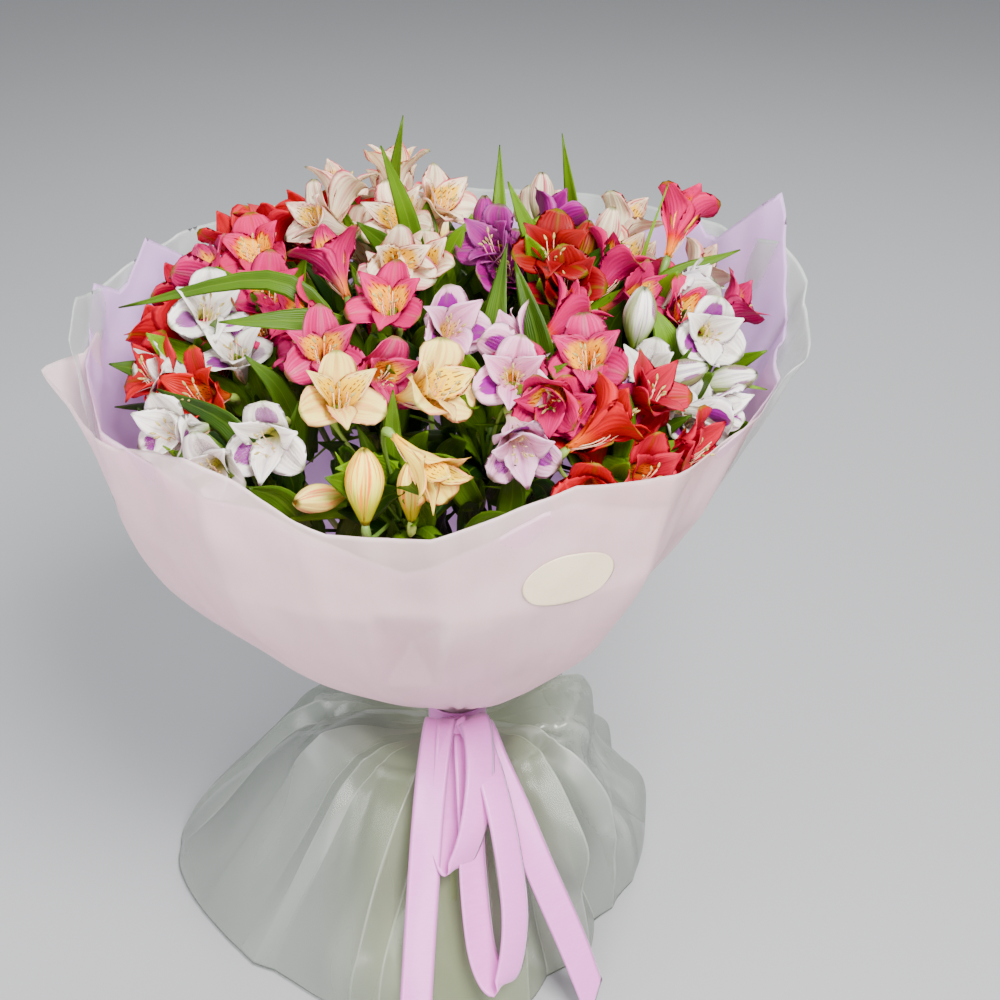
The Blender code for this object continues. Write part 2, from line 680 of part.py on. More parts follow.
def turned_ring(name, inside, wall, low, high, parts, material):
    """A flat band turned about Z."""
    vertices = [(inside + wall, 0, high), (inside + wall, 0, low), (inside, 0, low), (inside, 0, high)]
    mesh = bpy.data.meshes.new(name)
    mesh.from_pydata(vertices, [(0, 1), (1, 2), (2, 3), (3, 0)], [])
    mesh.materials.append(material)
    piece = bpy.data.objects.new(name, mesh)
    parts.objects.link(piece)
    turn = piece.modifiers.new("Turn", "SCREW")
    turn.steps = RING_STEPS
    turn.render_steps = RING_STEPS
    turn.merge_threshold = 0.0001
    turn.use_merge_vertices = True
    turn.use_smooth_shade = False
    return piece


def ribbon_strip(points, start_turn, end_turn):
    """Closed flat strip: four edges carried along the points."""
    path = [Vector(p) * CM for p in points]
    vertices = []
    count = len(path)
    for index, centre in enumerate(path):
        after = path[min(index + 1, count - 1)]
        before = path[max(index - 1, 0)]
        along = (after - before).normalized()
        across = heading(start_turn + (end_turn - start_turn) * index / (count - 1))
        across = (across - along * across.dot(along)).normalized()
        face = across.cross(along)
        half, thick = across * (RIBBON_WIDTH / 2), face * (RIBBON_THICKNESS / 2)
        if index in (0, count - 1) and count > 6:
            half = half * 0.7
        vertices += [centre + half + thick, centre - half + thick]
        vertices += [centre - half - thick, centre + half - thick]
    faces = [(3, 2, 1, 0)]
    for index in range(count - 1):
        faces += bridge(4 * index, 4 * index + 4, 4)
    last = 4 * (count - 1)
    faces.append((last, last + 1, last + 2, last + 3))
    return vertices, faces


def make_ribbon(parts, cutters, material):
    """Band round the waist, the knot at its front, and the loops and tails."""
    band = turned_ring("satin_ribbon", BAND_RADIUS, RIBBON_THICKNESS, *BAND_EDGES, parts, material)
    knot = bmesh.new()
    bmesh.ops.create_cube(knot, size=1.0)
    bmesh.ops.scale(knot, verts=knot.verts, vec=KNOT_SIZE)
    bmesh.ops.bevel(knot, geom=knot.edges[:], offset=0.003, segments=1, affect="EDGES", profile=0.5)
    bmesh.ops.translate(knot, verts=knot.verts, vec=KNOT_PLACE)
    mesh = bpy.data.meshes.new("guide_knot")
    knot.to_mesh(mesh)
    knot.free()
    guides = [bpy.data.objects.new("guide_knot", mesh)]
    cutters.objects.link(guides[0])
    for name, (points, start_turn, end_turn) in RIBBON_RUNS.items():
        vertices, faces = ribbon_strip(points, start_turn, end_turn)
        guides.append(make_object("guide_" + name, vertices, faces, cutters))
    for guide in guides:
        guide.hide_render = True
        guide.display_type = "WIRE"
        join = band.modifiers.new("Join " + guide.name, "BOOLEAN")
        join.operation = "UNION"
        join.solver = "EXACT"
        join.object = guide
    return band


def make_sticker(parts, material):
    """An oval patch that follows the front sheet a hair outside it."""
    rings, sides = STICKER_MESH
    lift = LAYER + FILM + 3 * GAP
    vertices = []
    share = (STICKER_HEIGHT - CUP_BOTTOM) / (RIM_HEIGHT - CUP_BOTTOM)
    radius = float(np.linalg.norm(cup_surface(np.array(STICKER_HEADING), np.array(share))[:2]))
    step = math.degrees(1.0 / radius)
    slope = (RIM_HEIGHT - CUP_BOTTOM) * STICKER_LEAN
    for ring in range(rings + 1):
        for side in range(sides if ring else 1):
            turn = 2 * math.pi * side / sides
            right = STICKER_SIZE[0] / 2 * ring / rings * math.cos(turn)
            up = STICKER_SIZE[1] / 2 * ring / rings * math.sin(turn)
            place = np.array(STICKER_HEADING + right * step), np.array(share + up / slope)
            vertices.append(tuple(lifted(cup_surface, *place, lift)))
    faces = [(0, 1 + i, 1 + (i + 1) % sides) for i in range(sides)]
    for ring in range(rings - 1):
        start = 1 + ring * sides
        faces += bridge(start + sides, start, sides)
    mesh = bpy.data.meshes.new("sticker")
    mesh.from_pydata(vertices, [], faces)
    mesh.materials.append(material)
    piece = bpy.data.objects.new("sticker", mesh)
    parts.objects.link(piece)
    wall = piece.modifiers.new("Thickness", "SOLIDIFY")
    wall.thickness = STICKER_THICKNESS
    wall.offset = 1.0
    return piece


def main():
    for piece in list(bpy.data.objects):
        bpy.data.objects.remove(piece)
    parts = make_collection("alstroemeria_bouquet")
    cutters = make_collection("guides")
    materials = {name: make_material(name, colour, 0.5) for name, colour in COLOURS.items()}

    sheets = make_sheets(parts, materials)
    skirt = make_skirt(parts, materials["film_clear"])
    make_sticker(parts, materials["label"])
    turned_ring("binding_tie", TIE_RADIUS, TIE_THICKNESS, *TIE_EDGES, parts, materials["tie"])
    make_ribbon(parts, cutters, materials["satin"])

    slots = waist_slots(SPRAYS)
    paths, stems = {}, {}
    for index, (name, _, flowers) in enumerate(SPRAYS):
        _, axis = spray_axis(flowers)
        ring, turn = slots[index]
        paths[name] = stem_path(ring, turn, knob_place(flowers), axis)
        stems[name] = make_stem(name, paths[name], STEM_ROUNDNESS[ring], parts, materials["stem"])
    bpy.context.view_layer.update()
    placed = [tree_of_object(piece) for piece in (*sheets, skirt, *stems.values())]
    tall = {name: tall_leaves(name, paths[name]) for name, _, _ in SPRAYS}
    for shapes in tall.values():
        placed.extend(tree_of(*shape) for shape in shapes)
    for name, colour, flowers in SPRAYS:
        make_florets(name, colour, flowers, parts, cutters, materials, placed)
    for name, _, _ in SPRAYS:
        own = tree_of_object(stems[name])
        make_leaves(name, paths[name], tall[name], parts, cutters, materials["leaf"], placed, own)


main()
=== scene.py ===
"""Alstroemeria bouquet in pink and frosted film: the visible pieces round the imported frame.

Metres, +Z up. Headings are degrees round the bouquet: 0 is +X, 90 the back, 180 the left
and 270 the front. Flower and leaf places are in centimetres, as in the table of sprays.
"""

import math

import bpy
import numpy as np
from bpy.props import FloatProperty, FloatVectorProperty, IntProperty, PointerProperty
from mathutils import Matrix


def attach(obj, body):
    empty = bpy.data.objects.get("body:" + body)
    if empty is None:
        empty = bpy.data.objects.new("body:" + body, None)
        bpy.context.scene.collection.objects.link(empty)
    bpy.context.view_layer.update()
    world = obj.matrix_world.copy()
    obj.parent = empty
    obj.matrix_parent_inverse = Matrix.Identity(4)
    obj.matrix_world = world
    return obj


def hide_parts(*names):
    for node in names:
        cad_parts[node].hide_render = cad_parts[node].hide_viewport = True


bl_info = {
    "name": "Alstroemeria Bouquet",
    "version": (1, 0, 0),
    "blender": (4, 5, 0),
    "location": "View3D > Sidebar > Bouquet",
    "description": "Builds the flowers, leaves, films, ribbon and stage of a hand-tied bouquet",
    "category": "Add Mesh",
}

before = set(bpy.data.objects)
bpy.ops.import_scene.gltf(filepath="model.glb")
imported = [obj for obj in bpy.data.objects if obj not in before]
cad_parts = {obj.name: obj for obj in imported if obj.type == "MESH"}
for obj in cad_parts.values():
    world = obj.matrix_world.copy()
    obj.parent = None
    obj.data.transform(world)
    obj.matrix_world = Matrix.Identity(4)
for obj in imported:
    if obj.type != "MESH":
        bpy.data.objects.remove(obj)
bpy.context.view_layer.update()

CM = 0.01
LAYER = 0.0016  # from one wrapping sheet to the next

# --- the bunch: the same waist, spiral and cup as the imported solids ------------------

WAIST = 0.183
REACH = 0.085
RING_SPACING = 0.00635
INNER_STEMS = 5
FOOT_RADIUS = (0.0, 0.026, 0.050)
SPIRAL = 55
LEAN = 0.22
FOOT_HEIGHT = 0.006
STEM_REACH = (0.05, 0.07, 0.09, 0.10)
NECK_RADIUS = 0.0199
CUP_BOTTOM = 0.197
RIM_HEIGHT = 0.530
STRAIGHT_SHARE = 0.75
RIM_RADIUS = {
    0: 0.255, 45: 0.275, 90: 0.265, 135: 0.270, 180: 0.272, 225: 0.268, 270: 0.262, 285: 0.259,
    300: 0.250, 315: 0.238, 330: 0.240}
CUP_SWELL = {0: 1.2, 90: 2.2, 180: 2.5, 225: 2.1, 270: 1.7, 300: 2.0, 315: 1.5}
SHOULDER_HEIGHT = {0: 0.188, 90: 0.182, 180: 0.186, 225: 0.180, 270: 0.174, 315: 0.182}
HEM_HEIGHT = 0.004
SHOULDER_RADIUS = {
    0: 0.110, 45: 0.100, 90: 0.095, 135: 0.105, 180: 0.130, 225: 0.100, 270: 0.075, 315: 0.090}
HEM_RADIUS = {
    0: 0.160, 45: 0.180, 90: 0.200, 135: 0.240, 180: 0.265, 200: 0.230, 225: 0.205, 270: 0.195,
    300: 0.170, 330: 0.148}
SKIRT_SWELL = {0: 1.35, 90: 1.3, 135: 1.1, 180: 1.0, 225: 1.15, 270: 1.4, 315: 1.3}

# Each stem: the colour of its flowers, and for each flower the place of its mouth in
# centimetres, the heading and tilt that it faces, and how far it is open
SPRAYS = {
    "scarlet_left": ("scarlet", [
        (-22, 1, 54, 150, 50, 1), (-21.5, -5, 53, 210, 55, 1), (-17.5, -9, 53.5, 240, 60, 1),
        (-21.5, 8, 54, 160, 60, 0.8)]),
    "white_left": ("white", [(-17, -3, 57, 300, 50, 1), (-19.5, -1, 55, 200, 40, 0)]),
    "white_front": ("white", [
        (-18.5, -13.5, 53, 230, 70, 0.8), (-11.5, -17, 54, 260, 80, 1),
        (-15, -18, 52.5, 260, 75, 0.8)]),
    "rose_left": ("rose", [
        (-19, 5, 57, 150, 50, 1), (-15, 5.5, 58, 250, 40, 1), (-13, -1, 57.5, 280, 45, 0.9),
        (-10.5, -5, 57.5, 200, 60, 0.8)]),
    "rose_middle": ("rose", [
        (-9, 2, 59.5, 120, 50, 1), (-4, -7, 59.5, 260, 40, 1), (-8, -11.5, 58, 280, 50, 1),
        (-4, -12.5, 56.5, 300, 70, 0.7)]),
    "scarlet_back": ("scarlet", [
        (-14, 10, 59, 90, 20, 1), (-18, 13, 56, 130, 50, 0.8), (-12, 16, 57, 110, 50, 1),
        (-8, 21, 54.5, 105, 60, 0.9)]),
    "blush_left": ("blush", [
        (-0.5, 8, 61, 330, 45, 0.9), (-4, 4.5, 61, 250, 45, 1), (-3.5, -1.5, 59.8, 290, 65, 0.8)]),
    "blush_back": ("blush", [
        (-10.5, 6.5, 60, 210, 60, 0.8), (-8.5, 10.5, 61.5, 60, 30, 0.9),
        (-4.5, 12.5, 62.5, 90, 20, 0.8), (-5, 17, 58.5, 100, 50, 0.9), (-1, 21, 55.5, 90, 60, 1)]),
    "peach_front": ("peach", [
        (-6.5, -16, 57, 290, 45, 1), (0, -15.5, 57.5, 330, 60, 1),
        (-0.5, -20.5, 53.8, 318, 112, 0.6), (-4.9, -20.2, 53.6, 90, 14, 0.24),
        (-2, -19.6, 53.0, 90, 8, 0), (-8.5, -20, 51.5, 225, 75, 0.05)]),
    "violet_middle": ("violet", [
        (3, 2, 60, 220, 45, 0.8), (2.5, 7, 60.5, 90, 10, 0), (8, 9.5, 59, 50, 50, 0.7)]),
    "crimson_middle": ("crimson", [(7.5, -0.5, 60.5, 270, 40, 1), (10, 4, 59.5, 60, 30, 0.1)]),
    "rose_right": ("rose", [
        (12.5, 2, 59, 30, 40, 0.9), (14, -1, 57, 330, 60, 0.7), (17.5, 6, 61, 60, 40, 0.7),
        (21.5, 2, 55, 10, 60, 0.7)]),
    "cream_back": ("blush", [
        (7, 14, 59.5, 90, 20, 0.1), (12, 8, 59, 30, 15, 0.1), (14, 15, 57, 60, 50, 1),
        (7, 19.5, 55.5, 80, 60, 0.9), (20, 11, 54, 30, 60, 0.8)]),
    "rose_front": ("rose", [
        (9, -6, 58.5, 20, 50, 0.8), (9.5, -11.5, 57.5, 260, 45, 1), (7, -15, 56, 250, 90, 0.6)]),
    "mauve_middle": ("mauve", [
        (4, -9.5, 58, 150, 50, 0.8), (0.5, -9, 58.5, 300, 50, 0.8),
        (4.5, -13.5, 57, 270, 60, 0.8), (5, -18.5, 54.5, 280, 95, 0.7)]),
    "scarlet_right": ("scarlet", [
        (11.5, -15.5, 55.5, 20, 60, 1), (13.5, -18.5, 52.5, 300, 70, 0.9),
        (14, -12.5, 55.5, 330, 45, 0.8), (17, -15, 52.5, 340, 70, 0.8),
        (9.5, -20, 52, 270, 80, 0.7)]),
    "white_right": ("white", [
        (13.5, -5, 58, 0, 5, 0.2), (17.5, 0, 57, 10, 55, 0.3), (18.5, -5, 56, 280, 65, 0.8),
        (16.7, -9, 55, 0, 70, 0.1), (20.5, -7, 53.5, 0, 75, 0.1),
        (18.5, -11.5, 53.5, 340, 80, 0.4)]),
}


# Side flowers of a spray, lower down than the ones in the table: three, or as given here
SIDE_FLOWERS = {"peach_front": 0, "white_front": 1, "blush_back": 2, "mauve_middle": 2}


def unit(v):
    """Vectors of length one."""
    return v / np.maximum(np.linalg.norm(v, axis=-1, keepdims=True), 1e-12)


def smooth(x, low=0.0, high=1.0):
    """Smooth step from 0 at low to 1 at high."""
    t = np.clip((np.asarray(x, float) - low) / (high - low), 0, 1)
    return t * t * (3 - 2 * t)


def heading(degrees):
    """Level unit vector for a heading in degrees."""
    turn = np.radians(degrees)
    return np.stack([np.cos(turn), np.sin(turn), 0 * turn], -1)


def direction(degrees, tilt):
    """Unit vector tilted from upright towards a heading, both in degrees."""
    lean = np.radians(tilt)
    return heading(degrees) * np.sin(lean) + np.array([0, 0, 1.0]) * np.cos(lean)


def round_values(table, degrees):
    """Values of a table of heading to number, straight between its entries."""
    keys = sorted(table)
    values = [table[key] for key in keys] + [table[keys[0]]]
    return np.interp(np.asarray(degrees, float) % 360, keys + [keys[0] + 360], values)


def eased_values(table, degrees, width=7.0):
    """The same, averaged over a few degrees so that its corners are rounded."""
    steps = np.linspace(-width, width, 9)
    return np.mean([round_values(table, np.asarray(degrees) + step) for step in steps], axis=0)


def bezier(points, count):
    """Even steps along a cubic curve given by its four points."""
    t = np.linspace(0.0, 1.0, count)[:, None]
    a, b, c, d = (np.asarray(p, float) for p in points)
    return (1 - t) ** 3 * a + 3 * (1 - t) ** 2 * t * b + 3 * (1 - t) * t**2 * c + t**3 * d


def spline(points, count):
    """Even steps along a smooth curve through the points (Catmull-Rom)."""
    p = np.asarray(points, float)
    p = np.concatenate([2 * p[:1] - p[1:2], p, 2 * p[-1:] - p[-2:-1]])
    t = np.linspace(0, len(p) - 3 - 1e-9, count)
    i = t.astype(int)
    f = (t - i)[:, None]
    a, b, c, d = p[i], p[i + 1], p[i + 2], p[i + 3]
    return 0.5 * (2 * b + (c - a) * f + (2 * a - 5 * b + 4 * c - d) * f**2
                  + (3 * b - a - 3 * c + d) * f**3)


def cup_radius(turn, share):
    """Radius of the wrap's wall: a swelling curve up to three quarters, straight above."""
    swell = eased_values(CUP_SWELL, turn)
    rim = eased_values(RIM_RADIUS, turn)
    curved = NECK_RADIUS + (rim - NECK_RADIUS) * (1 - (1 - np.clip(share, 0, STRAIGHT_SHARE)) ** swell)
    return curved + (rim - curved) * np.clip(share - STRAIGHT_SHARE, 0, None) / (1 - STRAIGHT_SHARE)


def held_in(points, margin=0.004):
    """Points moved in towards the middle where they would pass through the wrap."""
    radius = np.hypot(points[..., 0], points[..., 1])
    turn = np.degrees(np.arctan2(points[..., 1], points[..., 0])) % 360
    share = (points[..., 2] - CUP_BOTTOM) / (RIM_HEIGHT - CUP_BOTTOM)
    wall = wall_radius(turn, np.clip(share, 0.02, 1.02), 0) - margin
    scale = np.where(share < 1.08, np.minimum(1, wall / np.maximum(radius, 1e-6)), 1)
    return points * np.stack([scale, scale, np.ones_like(scale)], -1)


# --- shapes --------------------------------------------------------------------------


class Shape:
    """Grids and tubes gathered into one mesh.

    Each point carries (across, along, kind, chance), which the finishes read as colour.
    """

    def __init__(self):
        self.points, self.marks, self.faces, self.slots = [], [], [], []
        self.count = 0

    def add_points(self, points, marks):
        """Points with their marks; gives the number of the first."""
        start = self.count
        points = np.asarray(points, float).reshape(-1, 3)
        self.points.append(points)
        self.marks.append(marks.reshape(-1, 4))
        self.count += len(points)
        return start

    def add_faces(self, faces, slot):
        """Faces by their point numbers, all of one finish."""
        self.faces.append(np.asarray(faces))
        self.slots.append(np.full(len(faces), slot))

    def quads(self, index, slot, around=False):
        """Quads between neighbours of a grid of point numbers."""
        right = np.roll(index, -1, axis=1) if around else index[:, 1:]
        left = index if around else index[:, :-1]
        faces = np.stack([left[:-1], right[:-1], right[1:], left[1:]], -1)
        self.add_faces(faces.reshape(-1, 4), slot)

    def shell(self, grid, thickness, slot=0, kind=0.0, chance=0.5, around=False):
        """A sheet with a front and a back that meet along its edges, half the thickness
        of the grid to each side of it along the normals."""
        rows, columns = grid.shape[:2]
        normal = unit(np.cross(gradient(grid, 1, around), gradient(grid, 0)))
        lift = np.ones((rows, columns))
        lift[0] = lift[-1] = 0
        if not around:
            lift[:, 0] = lift[:, -1] = 0
        lift = lift[..., None] * thickness / 2
        across, along = np.meshgrid(np.linspace(0, 1, columns), np.linspace(0, 1, rows))
        marks = np.stack([across, along, 0 * across + kind, 0 * across + chance], -1)
        front = np.arange(rows * columns).reshape(rows, columns)
        front += self.add_points(grid + normal * lift, marks)
        back = front.copy()
        inner = (slice(1, -1), slice(None) if around else slice(1, -1))
        start = self.add_points((grid - normal * lift)[inner], marks[inner])
        back[inner] = np.arange(back[inner].size).reshape(back[inner].shape) + start
        self.quads(front, slot, around)
        self.quads(back[:, ::-1], slot, around)

    def tube(self, path, radii, sides=8, slot=0, kind=0.0, chance=0.5, first_slot=None):
        """A round tube along a path, closed at both ends: a circle of the radius there,
        across the path, at each point. Its first end may have a finish of its own."""
        path = np.asarray(path, float)
        tangent = unit(np.gradient(path, axis=0))
        side = unit(np.cross(tangent, [0.31, 0.2, 0.93]))
        other = np.cross(tangent, side)
        turn = np.linspace(0, 2 * np.pi, sides, endpoint=False)
        radii = np.broadcast_to(radii, len(path))[:, None, None]
        ring = side[:, None] * np.cos(turn)[:, None] + other[:, None] * np.sin(turn)[:, None]
        grid = path[:, None] + ring * radii
        across, along = np.meshgrid(np.linspace(0, 1, sides), np.linspace(0, 1, len(path)))
        marks = np.stack([across, along, 0 * across + kind, 0 * across + chance], -1)
        index = np.arange(len(path) * sides).reshape(len(path), sides)
        index += self.add_points(grid, marks)
        self.quads(index, slot, True)
        self.add_faces(index[:1, ::-1], slot if first_slot is None else first_slot)
        self.add_faces(index[-1:], slot)

    def build(self, name, finishes):
        """The object, with its finishes, and its marks as the attribute that they read."""
        mesh = bpy.data.meshes.new(name)
        points = np.concatenate(self.points)
        loops = np.concatenate([f.ravel() for f in self.faces])
        sizes = np.concatenate([np.full(len(f), f.shape[1]) for f in self.faces])
        mesh.vertices.add(len(points))
        mesh.vertices.foreach_set("co", points.ravel())
        mesh.loops.add(len(loops))
        mesh.loops.foreach_set("vertex_index", loops.astype(np.int32))
        mesh.polygons.add(len(sizes))
        mesh.polygons.foreach_set("loop_start", (np.cumsum(sizes) - sizes).astype(np.int32))
        mesh.polygons.foreach_set("material_index", np.concatenate(self.slots).astype(np.int32))
        mesh.polygons.foreach_set("use_smooth", np.ones(len(sizes), bool))
        mesh.update(calc_edges=True)
        marks = mesh.attributes.new("place", "FLOAT_COLOR", "POINT")
        marks.data.foreach_set("color", np.concatenate(self.marks).ravel())
        for finish in finishes:
            mesh.materials.append(finish)
        piece = bpy.data.objects.new(name, mesh)
        bpy.context.scene.collection.objects.link(piece)
        return piece


def gradient(grid, axis, around=False):
    """Differences along one axis of a grid, carried over the seam of a closed one."""
    if around:
        return np.roll(grid, -1, axis=1) - np.roll(grid, 1, axis=1)
    return np.gradient(grid, axis=axis)


# --- finishes ------------------------------------------------------------------------


def tint(red, green, blue):
    """Linear colour from values of 0 to 255 as a paint chart gives them."""
    c = np.array([red, green, blue]) / 255
    return tuple(float(x) for x in np.where(c <= 0.04045, c / 12.92, ((c + 0.055) / 1.055) ** 2.4))


class Value:
    """A number or colour in a material, with arithmetic."""

    def __init__(self, finish, socket):
        self.finish, self.socket = finish, socket

    def _math(self, operation, *others):
        return self.finish.node("Math", dict(enumerate((self, *others))), operation=operation)

    def __add__(self, other):
        return self._math("ADD", other)

    def __sub__(self, other):
        return self._math("SUBTRACT", other)

    def __rsub__(self, other):
        return self.finish.node("Math", {0: other, 1: self}, operation="SUBTRACT")

    def __mul__(self, other):
        return self._math("MULTIPLY", other)

    def __pow__(self, other):
        return self._math("POWER", other)

    __radd__ = __add__
    __rmul__ = __mul__

    def sine(self):
        return self._math("SINE")

    def size(self):
        return self._math("ABSOLUTE")

    def between(self, low, high):
        return self.finish.node("Clamp", {0: self, 1: low, 2: high})

    def step(self, low, high):
        """Smooth step from 0 at low to 1 at high."""
        if low > high:
            return 1.0 - self.step(high, low)
        return self.finish.node(
            "MapRange", {0: self, 1: low, 2: high}, interpolation_type="SMOOTHSTEP")


class Finish:
    """A material's nodes."""

    def __init__(self, name):
        self.material = bpy.data.materials.new(name)
        self.material.use_nodes = True
        self.tree = self.material.node_tree
        self.tree.nodes.clear()

    def node(self, kind, inputs=None, out=0, **settings):
        """A node: its settings first, then the values or links of its sockets."""
        node = self.tree.nodes.new("ShaderNode" + kind)
        for key, value in settings.items():
            setattr(node, key, value)
        for key, value in (inputs or {}).items():
            socket = node.inputs[key]
            if isinstance(value, Value):
                self.tree.links.new(value.socket, socket)
            elif isinstance(value, tuple) and len(value) == 3 and socket.type == "RGBA":
                socket.default_value = (*value, 1.0)
            else:
                socket.default_value = value
        return Value(self, node.outputs[out]) if len(node.outputs) else None

    def marks(self):
        """The across, along, kind and chance that the shape carries."""
        colour = self.node("Attribute", attribute_name="place")
        split = self.node("SeparateColor", {0: colour})
        sockets = [*split.socket.node.outputs, colour.socket.node.outputs["Alpha"]]
        return tuple(Value(self, socket) for socket in sockets)

    def mix(self, share, first, second):
        """Colour from the first to the second by a share."""
        return self.node("Mix", {0: share, 6: first, 7: second}, out=2, data_type="RGBA")

    def vector(self, x, y, z):
        """Three numbers as one vector."""
        return self.node("CombineXYZ", {0: x, 1: y, 2: z})

    def object_place(self, scale=(1.0, 1.0, 1.0)):
        """Object coordinates, in metres."""
        place = self.node("TexCoord", out=3)
        return self.node("Mapping", {0: place, 3: scale})

    def noise(self, vector, scale, detail=2.0, roughness=0.5):
        """Even noise between 0 and 1, round 0.5."""
        sockets = {"Vector": vector, "Scale": scale, "Detail": detail, "Roughness": roughness}
        return self.node("TexNoise", sockets)

    def bump(self, height, strength, distance):
        """Normal from a height."""
        return self.node("Bump", {"Height": height, "Strength": strength, "Distance": distance})

    def surface(self, base, roughness, normal=None, translucent=None, glow=0.3, clear=None,
                **constants):
        """Principled, part of it replaced by light coming through, part left clear."""
        inputs = {"Base Color": base, "Roughness": roughness}
        if normal is not None:
            inputs["Normal"] = normal
        inputs.update({key.replace("_", " "): value for key, value in constants.items()})
        shader = self.node("BsdfPrincipled", inputs)
        if translucent is not None:
            through = self.node("BsdfTranslucent", {"Color": translucent})
            shader = self.node("MixShader", {0: glow, 1: shader, 2: through})
        if clear is not None:
            empty = self.node("BsdfTransparent")
            shader = self.node("MixShader", {0: clear, 1: shader, 2: empty})
        self.node("OutputMaterial", {0: shader})
        return self.material


def flower_look(body, edge, claw, throat, dash, stripe, throat_size, blotch=None, bud_stripe=0.15):
    """What a colour of flower looks like. The throat is the patch on the two upper inner
    petals, which reaches to its size along them; dashes are its streaks; the blotch lies
    on the broad petals near their tips; the bud stripe is how green a bud's ribs are."""
    colours = dict(body=body, edge=edge, claw=claw, throat=throat, dash=dash, stripe=stripe)
    look = {name: tint(*colour) for name, colour in colours.items()}
    return dict(look, throat_size=throat_size, blotch=blotch and tint(*blotch), bud_stripe=bud_stripe)


FLOWERS = {
    "scarlet": flower_look((190, 0, 34), (214, 24, 60), (236, 110, 60), (255, 146, 10),
                           (70, 0, 6), (120, 0, 10), 0.52),
    "crimson": flower_look((136, 0, 16), (172, 0, 26), (190, 60, 30), (244, 140, 10),
                           (44, 0, 4), (92, 0, 8), 0.50),
    "rose": flower_look((206, 22, 100), (176, 0, 66), (250, 150, 70), (255, 186, 0),
                        (120, 0, 24), (236, 112, 160), 0.76),
    "peach": flower_look((255, 240, 142), (252, 180, 150), (252, 206, 96), (248, 200, 0),
                         (90, 30, 6), (238, 110, 92), 0.82),
    "blush": flower_look((255, 247, 212), (214, 44, 96), (250, 222, 120), (246, 190, 0),
                         (84, 16, 12), (210, 50, 100), 0.80),
    "white": flower_look((253, 251, 240), (250, 242, 250), (160, 190, 80), (240, 236, 120),
                         (74, 10, 50), (168, 146, 172), 0.46, blotch=(122, 0, 122), bud_stripe=1.1),
    "violet": flower_look((150, 30, 118), (196, 104, 170), (206, 130, 180), (240, 204, 80),
                          (52, 0, 60), (92, 0, 106), 0.44),
    "mauve": flower_look((240, 184, 212), (252, 228, 240), (236, 216, 170), (252, 230, 130),
                         (84, 0, 60), (174, 56, 144), 0.52, blotch=(122, 0, 122)),
}
GREEN_TIP = tint(106, 122, 34)
BUD_GREEN = tint(122, 152, 24)


